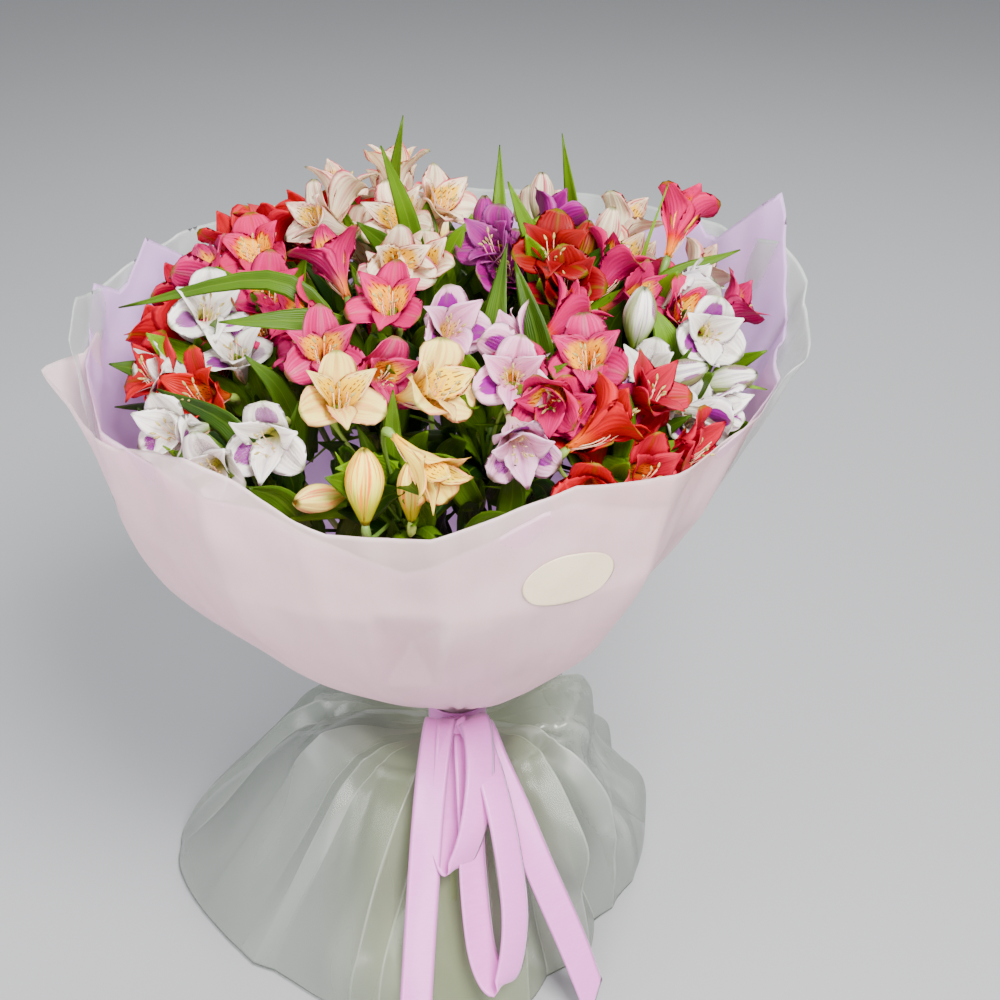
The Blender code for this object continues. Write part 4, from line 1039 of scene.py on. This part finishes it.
def edge_height(edge, turn):
    """Height of a sheet's upper edge: level, with corners and dips that rise or fall
    straight to a point at their heading, over a width to each side of it."""
    level, corners = edge
    height = level + 0 * turn
    for at, rise, width in corners:
        height = height + rise * np.maximum(1 - np.abs((turn - at + 180) % 360 - 180) / width, 0)
    return height


def cup_sheet(turns, edge, layer, rows=70):
    """Points of one wrapping sheet on the wall, from the neck up to the sheet's own edge."""
    turn = np.asarray(turns, float)[None]
    rise = np.linspace(0, 1, rows)[:, None] ** 0.9
    top = (edge_height(edge, turn) - CUP_BOTTOM) / (RIM_HEIGHT - CUP_BOTTOM)
    share = rise * (top + 0.035) - 0.035
    radius = wall_radius(turn + 0 * share, share + 0 * turn, layer)
    height = np.maximum(CUP_BOTTOM + (RIM_HEIGHT - CUP_BOTTOM) * share, 0.1838 + 0 * share)
    around = np.radians(turn + 0 * share)
    return np.stack([radius * np.cos(around), radius * np.sin(around), height], -1)


SHOULDER_SHARE = 0.26  # how far down the skirt its shoulder is
SKIRT_NECK_HEIGHT = 0.166


def fold_plan(seed, gaps, size):
    """Headings of the creases of a gathered film, how far each stands out or in at five
    levels, by turns and taller where they are wider, and how far they lean by the hem."""
    rng = np.random.default_rng(seed)
    stops = np.cumsum(gaps[0] + (gaps[1] - gaps[0]) * rng.uniform(0, 1, 400) ** 2)
    count = np.searchsorted(stops, 360) // 2 * 2
    stops = stops[:count] * 360 / stops[count]
    wide = np.minimum(np.diff(stops, prepend=0), np.diff(stops, append=360)) ** 0.6
    heights = size * wide * (-1) ** np.arange(count) * rng.uniform(-0.25, 1.3, (5, count))
    heights[-1] *= 0.25
    return stops, heights, rng.uniform(-4, 4)


def crease_columns(stops, gap=1.6, tight=(-0.5, -0.22, 0, 0.22, 0.5)):
    """Headings for a grid's columns: close together at each crease, even between them."""
    fill = np.arange(0, 360, gap)
    away = np.abs((fill[:, None] - stops + 180) % 360 - 180).min(axis=1) > 0.9
    return np.unique(np.concatenate([fill[away], *(stops + step for step in tight)]) % 360)


def folds(turn, v, plan):
    """Gathered folds of a film: flat facets between creases that run down it, whose
    heights change from level to level and die away at the hem."""
    stops, heights, lean = plan
    slanted = (turn + lean * v) % 360
    around = np.concatenate([stops - 360, stops, stops + 360])
    levels = [np.interp(slanted, around, np.tile(row, 3)) for row in heights]
    total = levels[0]
    for index in range(1, len(levels)):
        share = smooth(v, 0.26 * index - 0.26, 0.26 * index)
        total = total + (levels[index] - total) * share
    return total


def crumples(turn, v, seed, count, span, size):
    """Short crumples: tents over scattered straight lines of a film."""
    rng = np.random.default_rng(seed)
    total = 0 * turn * v
    for index in range(count):
        across = ((turn - rng.uniform(*span) + 180) % 360 - 180) / 15
        down = (v - rng.uniform(0.12, 0.85)) / 0.15
        lean = rng.uniform(-0.6, 0.6)
        line = across * np.sin(lean) + down * np.cos(lean)
        off = across * np.cos(lean) - down * np.sin(lean)
        tent = np.clip(1 - np.abs(off) / 0.32, 0, 1) * np.clip(1.2 - np.abs(line) / 1.4, 0, 1)
        total = total + size * rng.uniform(0.4, 1.0) * (-1) ** index * tent
    return total


def creased(grid, around):
    """How sharply a sheet bends at each point: the turn of its normal from one neighbour
    to the next, from 0 on a smooth bend to 1 on a crease."""
    normal = unit(np.cross(gradient(grid, 1, around), gradient(grid, 0)))
    sideways, upwards = gradient(normal, 1, around), gradient(normal, 0)
    bend = np.linalg.norm(sideways, axis=-1) + np.linalg.norm(upwards, axis=-1)
    return np.clip((bend - 0.24) / 0.45, 0, 1)


def skirt_grid(rows=76):
    """The lower film: out from the neck, over a shoulder, and straight down to the hem,
    gathered in sharp folds that radiate from the tie, and crumpled at the right. Its
    columns follow the creases of the folds, and it is calmer beside the ribbon."""
    plan = fold_plan(21, (4, 25), 0.0078)
    v = np.linspace(0, 1, rows)[:, None]
    turn = crease_columns(plan[0])[None] - plan[2] * v
    shoulder = eased_values(SHOULDER_RADIUS, turn, 12)
    top = eased_values(SHOULDER_HEIGHT, turn, 20)
    hem = eased_values(HEM_RADIUS, turn, 5)
    swell = eased_values(SKIRT_SWELL, turn, 20)
    down = np.clip((v - SHOULDER_SHARE) / (1 - SHOULDER_SHARE), 0, 1)
    up = np.clip(v / SHOULDER_SHARE, 0, 1)
    above = v < SHOULDER_SHARE
    neck = NECK_RADIUS + (shoulder - NECK_RADIUS) * up**0.9
    radius = np.where(above, neck, shoulder + (hem - shoulder) * (1 - (1 - down) ** swell))
    rising = SKIRT_NECK_HEIGHT + (top - SKIRT_NECK_HEIGHT) * smooth(v, 0.02, 0.20)
    height = np.where(above, rising, top + (HEM_HEIGHT - top) * down)
    corner = np.exp(-(((v - SHOULDER_SHARE) / 0.07) ** 2))
    radius, height = radius - 0.006 * corner, height - 0.005 * corner
    calm = 0.35 + 0.65 * smooth(np.abs((turn - 190 + 180) % 360 - 180), 24, 60)
    calm = calm * (0.6 + 0.4 * smooth(np.abs(turn - 274), 8, 26))
    swing = folds(turn, v, plan) * calm * (0.45 + radius / 0.26)
    swing = swing + crumples(turn, v, 23, 26, (285, 375), 0.0055)
    swing = swing + crumples(turn, v, 24, 26, (0, 360), 0.004)
    open_up = smooth(v, 0.03, 0.24)
    radius = radius + swing * open_up * smooth(v, 0.10, 0.34)
    height = height + (swing * 0.9 - 0.003) * open_up * (1 - smooth(v, 0.22, 0.42))
    height = np.maximum(height, HEM_HEIGHT) + 0 * turn
    around = np.radians(turn) + 0 * v
    return np.stack([radius * np.cos(around), radius * np.sin(around), height], -1)


# --- ribbon --------------------------------------------------------------------------

TWINE_TURNS = 5.2
TWINE_RADIUS = 0.0009
TWINE_REACH = 0.0181  # from the middle of the bunch
TWINE_HEIGHTS = (0.1788, 0.1872)
RIBBON_THICKNESS = 0.0005
BAND_RADIUS = 0.0246
BAND_FOOT = 0.1692
BAND_HEIGHT = 0.0236
SLANTED_CUTS = {"left_tail": 0.010, "right_tail": -0.014}

# Each run of ribbon from the knot: its places in centimetres, and the heading that the way
# across it has at its start and at its end
RIBBON_RUNS = {
    "left_tail": ([
        (-0.8, -3.2, 18.6), (-1.2, -5.2, 20.9), (-1.7, -8.8, 19.4), (-2.1, -11.8, 16.2),
        (-2.5, -15.4, 11.4), (-2.9, -18.8, 6.0), (-3.2, -21.6, 1.2)], 0, 5),
    "right_tail": ([
        (0.8, -3.2, 18.6), (1.8, -5.2, 20.6), (3.2, -8.4, 19.0), (5.2, -11.0, 15.6),
        (7.2, -13.6, 11.6), (9.6, -15.9, 6.4), (11.6, -17.8, 1.4)], 10, 30),
    "short_loop": ([
        (0.2, -3.4, 18.9), (-0.2, -5.6, 20.9), (-0.5, -9.0, 18.4), (-0.7, -12.0, 14.8),
        (-0.2, -13.7, 12.9), (0.6, -13.8, 13.5), (1.6, -12.6, 16.2), (2.1, -9.6, 19.4),
        (1.7, -6.0, 21.2), (0.7, -3.5, 19.4)], 35, 35),
    "long_loop": ([
        (0.5, -3.6, 18.8), (1.0, -6.4, 20.2), (1.3, -10.4, 17.2), (1.6, -14.4, 11.6),
        (2.3, -17.6, 7.0), (3.5, -19.0, 5.0), (4.5, -18.5, 6.4), (4.9, -16.4, 10.6),
        (4.0, -12.6, 15.8), (2.6, -8.6, 19.4), (1.3, -5.4, 20.8), (0.8, -3.4, 19.0)], 40, 40),
}


def ribbon_grid(points, first, last, width, rows, cut=0.0):
    """A flat ribbon: a smooth curve through the points, carried sideways along a heading,
    with a slight crown, and a slanted cut at its end."""
    path = spline(np.asarray(points) * CM, rows)
    tangent = unit(np.gradient(path, axis=0))
    t = np.linspace(0, 1, rows)
    across = heading(first + (last - first) * t)
    across = unit(across - tangent * np.sum(across * tangent, -1, keepdims=True))
    normal = np.cross(across, tangent)
    s = np.linspace(-1, 1, 9)[None, :, None]
    half = width / 2 * (0.45 + 0.55 * smooth(t, 0, 0.14))[:, None, None]
    crown = 0.0012 * (1 - s**2) + 0.0010 * np.sin(14 * t)[:, None, None] * s
    slant = tangent[:, None] * cut * s * smooth(t, 0.85, 1.0)[:, None, None]
    return path[:, None] + across[:, None] * half * s + normal[:, None] * crown + slant


# --- add-on --------------------------------------------------------------------------


class BouquetSettings(bpy.types.PropertyGroup):
    """Sizes and colours of the bouquet."""

    flower_size: FloatProperty(
        name="Flower Size", description="Size of every flower, as a share of its usual size",
        default=1.12, min=0.5, max=1.3)
    leaves_per_stem: IntProperty(
        name="Leaves per Stem", description="Leaves in the whorl at the top of a stem",
        default=14, min=2, max=24)
    film_thickness: FloatProperty(
        name="Film Thickness", description="Thickness of the wrapping films",
        default=0.0004, min=0.0001, max=0.001, unit="LENGTH")
    ribbon_width: FloatProperty(
        name="Ribbon Width", description="Width of the satin ribbon",
        default=0.026, min=0.006, max=0.05, unit="LENGTH")
    stem_radius: FloatProperty(
        name="Stem Radius", description="Radius of the flower stems",
        default=0.0029, min=0.0015, max=0.004, unit="LENGTH")
    pink: FloatVectorProperty(
        name="Pink Film", description="Colour of the sheet across the front",
        default=tint(255, 227, 230), min=0, max=1, subtype="COLOR")
    lilac: FloatVectorProperty(
        name="Lilac Film", description="Colour of the sheet round the flowers",
        default=tint(236, 202, 255), min=0, max=1, subtype="COLOR")
    frosted: FloatVectorProperty(
        name="Frosted Film", description="Colour of the clear frosted sheets",
        default=tint(200, 208, 202), min=0, max=1, subtype="COLOR")
    floor: FloatVectorProperty(
        name="Floor", description="Colour of the stage floor",
        default=tint(160, 161, 164), min=0, max=1, subtype="COLOR")


def settings(context):
    """The sizes and colours that the operators read."""
    return context.scene.bouquet


class BouquetStems(bpy.types.Operator):
    """Add the cut stems, spiralled at the tie and fanned out above it"""

    bl_idname = "bouquet.stems"
    bl_label = "Stems"

    def execute(self, context):
        finish = green_finish("stem", tint(136, 170, 66), tint(70, 116, 40), 0.42)
        pith = green_finish("cut_end", tint(206, 214, 150), tint(170, 186, 110), 0.6)
        slots = waist_slots()
        rng = np.random.default_rng(21)
        for index, (name, (_, flowers)) in enumerate(SPRAYS.items()):
            path = stem_path(*slots[index], flowers)
            share = np.linspace(0, 1, len(path))
            radii = settings(context).stem_radius * (1 - 0.22 * smooth(share, 0.3, 1.0))
            radii = radii * (1 + 0.05 * np.sin(share * 40 + index) * smooth(share, 0.1, 0.3))
            shape = Shape()
            shape.tube(path, radii, 12, chance=rng.uniform(0.2, 0.9), first_slot=1)
            piece = shape.build("flower_stem_" + name, [finish, pith])
            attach(piece, "root")
            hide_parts("stem_" + name)
        return {"FINISHED"}


class BouquetFlowers(bpy.types.Operator):
    """Add the umbels: stalks, buds and open flowers with petals and stamens"""

    bl_idname = "bouquet.flowers"
    bl_label = "Flowers"

    def execute(self, context):
        size = settings(context).flower_size
        stalk = green_finish("stalk", tint(150, 176, 70), tint(92, 130, 50), 0.45)
        filament = green_finish("filament", tint(244, 214, 170), tint(226, 150, 130), 0.5)
        anther = anther_finish("anther", tint(196, 176, 96))
        petals = {name: petal_finish(name, look) for name, look in FLOWERS.items()}
        for number, (name, (colour, flowers)) in enumerate(SPRAYS.items()):
            rng = np.random.default_rng(100 + number)
            knob = knob_place(flowers)
            shape = Shape()
            swelling = knob + spray_axis(flowers)[1] * np.linspace(-0.005, 0.004, 6)[:, None]
            shape.tube(swelling, KNOB_RADII, 10, STALK_SLOT)
            flowers = [(np.array(flower[:3]) * CM, direction(*flower[3:5]), flower[5])
                       for flower in flowers]
            for mouth, facing, opening in flowers + side_flowers(name, rng):
                base = mouth - facing * FLOWER_DEPTH * (0.75 + 0.25 * opening)
                add_pedicel(shape, knob, base, facing, rng)
                if opening < BUD_OPENING:
                    add_bud(shape, base, facing, opening, size, rng)
                else:
                    add_petals(shape, base, facing, opening, size, rng)
                    add_stamens(shape, base, facing, opening, size, rng)
            piece = shape.build("umbel_" + name, [petals[colour], stalk, filament, anther])
            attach(piece, "root")
            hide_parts("florets_" + name)
        return {"FINISHED"}


class BouquetLeaves(bpy.types.Operator):
    """Add the whorls of leaves and the long leaves that stand among the flowers"""

    bl_idname = "bouquet.leaves"
    bl_label = "Leaves"

    def execute(self, context):
        finish = leaf_finish()
        slots = waist_slots()
        knobs = np.array([knob_place(flowers) for _, flowers in SPRAYS.values()])
        metres = long_leaves()
        between = np.random.default_rng(66)
        for _, flowers in SPRAYS.values():
            metres += among_leaves(flowers, between)
        metres += fill_leaves()
        owners = [int(np.argmin(np.linalg.norm(knobs - leaf[0], axis=1))) for leaf in metres]
        for index, (name, (_, flowers)) in enumerate(SPRAYS.items()):
            rng = np.random.default_rng(300 + index)
            path = stem_path(*slots[index], flowers)
            shape = Shape()
            add_whorl(shape, path, settings(context).leaves_per_stem, rng)
            for owner, (base, bend, tip, width, roll, tone) in zip(owners, metres):
                if owner == index:
                    points = [path[-2], base, bend, tip]
                    grid = leaf_grid(points, width, roll, 0.28, 0.10, rng.uniform(0, 6), 0.30,
                                     (0.0, -0.8, 0.6))
                    shape.shell(held_in(grid), LEAF_THICKNESS, 0, TALL_KIND, tone)
            piece = shape.build("foliage_" + name, [finish])
            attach(piece, "root")
            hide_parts("leaves_" + name)
        return {"FINISHED"}


class BouquetWrap(bpy.types.Operator):
    """Add the pink and frosted sheets round the flowers"""

    bl_idname = "bouquet.wrap"
    bl_label = "Wrapping Sheets"

    def execute(self, context):
        chosen = settings(context)
        pink, lilac, frosted = map(tuple, (chosen.pink, chosen.lilac, chosen.frosted))
        inner = film_finish("film_lilac", pink, tint(255, 230, 255), 0.58, 0.0, side=lilac)
        front = film_finish("film_pink", pink, tint(255, 238, 240), 0.44, 0.44)
        clear = film_finish("film_frosted", frosted, tint(234, 240, 238), 0.30, 0.68, 0.28, 0.10)
        sheets = (
            ("pink_inner_sheet", "pink_sheet_inner", np.arange(0, 360, 1.0), INNER_EDGE, 0,
             True, inner, (0.66, 0.64), "film_pink"),
            ("pink_front_sheet", "pink_sheet_front", np.arange(160, 360.5, 1.0), FRONT_EDGE, 1,
             False, front, (0.50, 0.50), "film_pink"),
            ("frosted_outer_sheet", "frosted_sheet", np.arange(-30, 200.5, 1.0), CLEAR_EDGE, 2,
             False, clear, (0.60, 0.56), "film_clear"),
        )
        for name, node, turns, edge, layer, around, finish, flat, slot in sheets:
            shape = Shape()
            grid = cup_sheet(turns, edge, layer)
            shape.shell(grid, chosen.film_thickness, chance=creased(grid, around), around=around)
            piece = shape.build(name, [finish])
            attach(piece, "root")
            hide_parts(node)
        return {"FINISHED"}


class BouquetSkirt(bpy.types.Operator):
    """Add the frosted film gathered below the tie"""

    bl_idname = "bouquet.skirt"
    bl_label = "Film Skirt"

    def execute(self, context):
        chosen = settings(context)
        # Painted shade: the frosted colour darkened by half stands in for the dark inside seen through
        # the skirt
        frosted_painted_shade = tuple(0.52 * value for value in chosen.frosted)
        # The middle colour is a painted tint of the stems seen through the skirt
        finish = film_finish("film_skirt", frosted_painted_shade, tint(190, 202, 172), 0.22, 0.55, 0.22, 0.06,
                             (34.0, 1.6), 0.16, middle=tint(136, 146, 96), Specular_IOR_Level=0.8)
        shape = Shape()
        grid = skirt_grid()
        shape.shell(grid, chosen.film_thickness, chance=creased(grid, True), around=True)
        piece = shape.build("frosted_skirt", [finish])
        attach(piece, "root")
        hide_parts("skirt_film")
        return {"FINISHED"}


class BouquetTie(bpy.types.Operator):
    """Add the twine round the stems, and the satin ribbon with its loops and tails"""

    bl_idname = "bouquet.tie"
    bl_label = "Tie and Ribbon"

    def execute(self, context):
        chosen = settings(context)
        shape = Shape()
        turn = np.linspace(0, 2 * np.pi * TWINE_TURNS, 260)
        height = TWINE_HEIGHTS[0] + (TWINE_HEIGHTS[1] - TWINE_HEIGHTS[0]) * turn / turn[-1]
        twine = np.stack([TWINE_REACH * np.cos(turn), TWINE_REACH * np.sin(turn), height], -1)
        shape.tube(twine, TWINE_RADIUS, 6)
        piece = shape.build("twine_tie", [twine_finish()])
        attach(piece, "root")
        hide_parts("binding_tie")

        # The band round the neck, the runs, and the knot: a curved patch with small gathers
        shape = Shape()
        width = chosen.ribbon_width
        around = np.linspace(0, 2 * np.pi, 120, endpoint=False)[None]
        low = np.linspace(0, 1, 12)[:, None]
        radius = BAND_RADIUS + 0.0004 * np.sin(around * 9 + low * 3) * np.sin(np.pi * low)
        height = BAND_FOOT + BAND_HEIGHT * low + 0 * around
        band = np.stack([radius * np.cos(around), radius * np.sin(around), height], -1)
        shape.shell(band, RIBBON_THICKNESS, around=True)
        for number, (name, (points, first, last)) in enumerate(RIBBON_RUNS.items()):
            grid = ribbon_grid(points, first, last, width, 90, SLANTED_CUTS.get(name, 0.0))
            shape.shell(grid[:, ::-1], RIBBON_THICKNESS, chance=number / 4)
        v = np.linspace(0, 1, 15)[:, None]
        s = np.linspace(-1, 1, 25)[None]
        wrap = 2.6 * (v - 0.5)
        pinch = 1 - 0.18 * np.cos(wrap)
        gathers = 0.0012 * np.cos(s * 9) * (1 - s**2)
        knot = np.stack([0.0135 * s * pinch + 0 * v, -0.0300 - 0.0085 * np.cos(wrap) - gathers,
                         0.184 + 0.0125 * np.sin(wrap) + 0.001 * s], -1)
        shape.shell(knot, RIBBON_THICKNESS * 2, chance=0.9)
        piece = shape.build("satin_bow", [satin_finish()])
        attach(piece, "root")
        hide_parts("satin_ribbon")
        return {"FINISHED"}


LABEL_HEADING = 290.5
LABEL_HEIGHT = 0.466
LABEL_HALF_WIDTH = 0.034
LABEL_HALF_HEIGHT = 0.024


class BouquetLabel(bpy.types.Operator):
    """Add the bare oval label on the front sheet"""

    bl_idname = "bouquet.label"
    bl_label = "Oval Label"

    def execute(self, context):
        finish = label_finish()
        shape = Shape()
        u, v = np.meshgrid(np.linspace(-1, 1, 41), np.linspace(-1, 1, 29))
        right, up = u * np.sqrt(1 - v**2 / 2), v * np.sqrt(1 - u**2 / 2)
        depth = RIM_HEIGHT - CUP_BOTTOM
        level = (LABEL_HEIGHT - CUP_BOTTOM) / depth
        share = level + LABEL_HALF_HEIGHT * up / depth * 0.92
        reach = float(cup_radius(np.array(LABEL_HEADING), np.array(level)))
        angle = LABEL_HEADING + np.degrees(LABEL_HALF_WIDTH * right / reach)
        radius = wall_radius(angle, share, 1) + 0.0009
        around = np.radians(angle)
        height = CUP_BOTTOM + depth * share
        shape.shell(np.stack([radius * np.cos(around), radius * np.sin(around), height], -1), 0.0004)
        piece = shape.build("oval_label", [finish])
        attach(piece, "root")
        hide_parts("sticker")
        return {"FINISHED"}


FLOOR_REACH = 3.6
FLOOR_SIDES = 96
CAMERA_PLACE = (0.037, -1.04, 1.04)
CAMERA_PITCH = 58
CAMERA_LENS = 55.8
LIGHT_TARGET = (0.0, 0.0, 0.38)
LIGHTS = (  # name, place, width, power and colour
    ("key", (0.7, -1.2, 2.2), 0.9, 140.0, (1.0, 0.985, 0.96)),
    ("front", (-0.3, -2.2, 0.8), 1.0, 46.0, (1.0, 0.99, 0.98)),
    ("fill", (-1.7, -0.8, 1.4), 1.2, 26.0, (0.96, 0.98, 1.0)),
    ("back", (0.4, 1.5, 2.0), 1.0, 36.0, (1.0, 1.0, 1.0)),
)


class BouquetStage(bpy.types.Operator):
    """Add the floor, the soft lights and the camera"""

    bl_idname = "bouquet.stage"
    bl_label = "Stage"

    def execute(self, context):
        scene = context.scene
        mesh = bpy.data.meshes.new("floor")
        rim = heading(np.arange(FLOOR_SIDES) * 360 / FLOOR_SIDES) * FLOOR_REACH
        mesh.from_pydata(rim.tolist(), [], [tuple(range(FLOOR_SIDES))])
        mesh.materials.append(floor_finish(tuple(settings(context).floor)))
        floor = bpy.data.objects.new("floor", mesh)
        scene.collection.objects.link(floor)

        world = bpy.data.worlds.new("studio")
        world.use_nodes = True
        sky = world.node_tree.nodes["Background"]
        sky.inputs["Color"].default_value = (0.93, 0.96, 1.0, 1.0)
        sky.inputs["Strength"].default_value = 0.46
        scene.world = world

        for name, place, size, power, colour in LIGHTS:
            light = bpy.data.lights.new(name, "AREA")
            light.size = size
            light.energy = power
            light.color = colour
            lamp = bpy.data.objects.new(name, light)
            lamp.location = place
            aim = np.array(LIGHT_TARGET) - np.array(place)
            pitch = math.acos(-aim[2] / np.linalg.norm(aim))
            lamp.rotation_euler = (pitch, 0.0, math.atan2(aim[1], aim[0]) - math.pi / 2)
            scene.collection.objects.link(lamp)

        camera = bpy.data.cameras.new("camera")
        camera.sensor_width = 36.0
        camera.lens = CAMERA_LENS
        eye = bpy.data.objects.new("camera", camera)
        eye.location = CAMERA_PLACE
        eye.rotation_euler = (math.radians(CAMERA_PITCH), 0.0, 0.0)
        scene.collection.objects.link(eye)
        scene.camera = eye
        return {"FINISHED"}


class BouquetPanel(bpy.types.Panel):
    """Lists the sizes, the colours and the pieces"""

    bl_idname = "VIEW3D_PT_bouquet"
    bl_label = "Alstroemeria Bouquet"
    bl_space_type = "VIEW_3D"
    bl_region_type = "UI"
    bl_category = "Bouquet"

    def draw(self, context):
        column = self.layout.column()
        for name in BouquetSettings.__annotations__:
            column.prop(settings(context), name)
        for operator in OPERATORS:
            column.operator(operator.bl_idname)


OPERATORS = (BouquetStage, BouquetStems, BouquetFlowers, BouquetLeaves, BouquetWrap,
             BouquetSkirt, BouquetTie, BouquetLabel)
CLASSES = (BouquetSettings, *OPERATORS, BouquetPanel)


def register():
    """Add the settings, the operators and the panel."""
    for item in CLASSES:
        bpy.utils.register_class(item)
    bpy.types.Scene.bouquet = PointerProperty(type=BouquetSettings)


def unregister():
    """Take them away again."""
    del bpy.types.Scene.bouquet
    for item in reversed(CLASSES):
        bpy.utils.unregister_class(item)


def main():
    """Make every group in order."""
    register()
    for operator in OPERATORS:
        group, name = operator.bl_idname.split(".")
        getattr(getattr(bpy.ops, group), name)()


if __name__ == "__main__":
    main()
